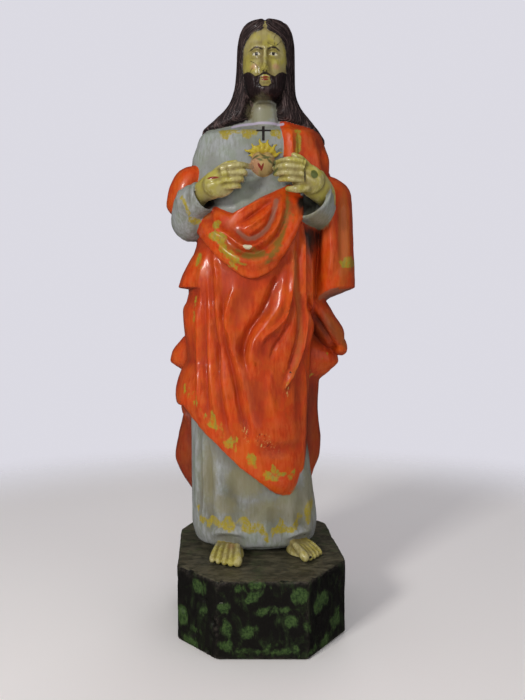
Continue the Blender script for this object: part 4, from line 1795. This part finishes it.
def block_paint(edge, brushwork):
    """Black paint with green dabs on the sides, brushed grey-brown on top"""
    material, tree, shader = new_material("painted plinth")
    place = place_in(tree)
    lean = stretched(tree, place, (1, 1, 0.5), (0.3, 0.7, 0.2))
    grain = cloud(tree, place, 0.0022, 4, 0.7)
    work = use(tree, brushwork, {"Place": place, "Stroke": grain, "Dirt": 0.4, "Wear": 0.9,
                                 "Ridge": marked(tree, "ridge")})
    base = blend(tree, work["Worn"], blend(tree, work["Shaded"], *BLOCK_BLACK), BLOCK_RUBBED)
    green = blend(tree, ramp(tree, grain, 0.35, 0.65), *BLOCK_GREEN)
    blot = use(tree, edge, {
        "Mark": marked(tree, "green"), "Grain": cloud(tree, lean, 0.008, 5, 0.68, 0.8),
        "Wander": 9.0, "Softness": 1.8})[0]
    haze = ramp(tree, cloud(tree, lean, 0.011, 5, 0.7, 1.2), 0.5, 0.72, 0.0, 0.4)
    dabs = calc(tree, "MAXIMUM", times(tree, blot, ramp(tree, grain, 0.3, 0.52, 0.6, 1.0)), haze)
    side = blend(tree, dabs, base, green)
    wide = cloud(tree, stretched(tree, place, (0.5, 1, 1)), 0.0045, 5, 0.7, 0.6)
    top = blend(tree, ramp(tree, wide, 0.36, 0.66), *BLOCK_TOP)
    top = blend(tree, times(tree, dabs, 0.3), top, green)
    normal = add(tree, "ShaderNodeNewGeometry").outputs["True Normal"]
    facing = add(tree, "ShaderNodeSeparateXYZ", {0: normal}).outputs[2]
    up = ramp(tree, calc(tree, "MULTIPLY_ADD", grain, 0.2, facing), 0.8, 1.0)
    color = blend(tree, up, side, top)
    fill(tree, shader, {
        "Base Color": blend(tree, ramp(tree, marked(tree, "chip"), 0.0, 0.5), color, BLOCK_BARE),
        "Roughness": ramp(tree, work["Gloss"], 0.3, 0.7, 0.35, 0.55),
        "Normal": bumped(tree, calc(tree, "MULTIPLY_ADD", dabs, 0.4, grain), 0.45, 0.0003),
        "Specular IOR Level": 0.22})
    return material


def finished(piece, node, material, foot):
    """Puts a piece into metres at its place over the floor and gives it its paint"""
    co = points_of(piece)
    co[:, 2] += foot
    set_points(piece, co / 1000)
    piece.data.materials.clear()
    piece.data.materials.append(material)
    take(piece)
    bpy.ops.object.shade_smooth()
    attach(piece, "root")
    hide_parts(node)


# The floor and the lamps are in metres
FLOOR_RADIUS = 0.75
FLOOR_COLOR = (0.98, 0.95, 0.92, 1)
SKY_COLOR = (0.80, 0.79, 0.86, 1)
# Lamps: place, what they are aimed at, size, power, colour and whether glossy paint shows them
LAMPS = {
    "key": ((-0.7, -1.0, 0.75), (0, 0, 0.28), 0.22, 9, (1.0, 0.98, 0.96), True),
    "fill": ((1.1, -0.9, 0.7), (0, 0, 0.25), 0.9, 1.6, (1.0, 0.98, 0.95), True),
    "front": ((0.1, -1.3, 0.45), (0, 0, 0.25), 0.4, 4, (1.0, 0.98, 0.95), False),
    "back": ((0.3, 1.3, 0.9), (0, 0, 0.25), 0.9, 4, (0.95, 0.97, 1.0), False),
}
# Strength of the sky in all light, and how much more of it lights dull surfaces and is seen by the
# camera
SKY_BASE = 0.04
SKY_SOFT = 0.34
SKY_SEEN = 0.85


def floor():
    """A pale floor that fades out towards its rim"""
    deselect()
    bpy.ops.mesh.primitive_circle_add(vertices=96, radius=FLOOR_RADIUS, fill_type="NGON")
    piece = bpy.context.object
    piece.name = "floor"
    material, tree, shader = new_material("pale floor")
    out = add(tree, "ShaderNodeVectorMath", {0: place_in(tree)}, operation="LENGTH").outputs[1]
    fill(tree, shader, {"Base Color": FLOOR_COLOR, "Roughness": 0.8,
                        "Alpha": ramp(tree, out, FLOOR_RADIUS, FLOOR_RADIUS * 0.55)})
    piece.data.materials.append(material)
    piece.visible_glossy = False
    return piece


def lamp(name, place, aim, size, power, color, in_gloss):
    data = bpy.data.lights.new(name, "AREA")
    data.energy, data.size, data.color = power, size, color
    light = bpy.data.objects.new(name, data)
    light.location = place
    turn = Vector(aim) - Vector(place)
    light.rotation_euler = turn.to_track_quat("-Z", "Y").to_euler()
    light.visible_glossy = in_gloss
    bpy.context.scene.collection.objects.link(light)


def sky():
    """A pale room, brighter to the camera than to the statue"""
    world = bpy.data.worlds.new("pale room")
    bpy.context.scene.world = world
    world.use_nodes = True
    tree = world.node_tree
    rays = add(tree, "ShaderNodeLightPath").outputs
    strength = calc(tree, "MULTIPLY_ADD", rays["Is Diffuse Ray"], SKY_SOFT, SKY_BASE)
    strength = calc(tree, "MULTIPLY_ADD", rays["Is Camera Ray"], SKY_SEEN, strength)
    fill(tree, tree.nodes["Background"], {"Color": SKY_COLOR, "Strength": strength})


edge, brushwork = make_edge(), make_brushwork()
figure, trees = carved_figure()
paint_marks(figure, trees)
finished(figure, "figure", enamel(edge, make_coat(), brushwork, make_flakes()), FIGURE_FOOT)

block = plinth()
block_marks(block)
finished(block, "plinth", block_paint(edge, brushwork), 0)

floor()
for name, values in LAMPS.items():
    lamp(name, *values)
sky()
bpy.context.scene.view_settings.view_transform = "Standard"
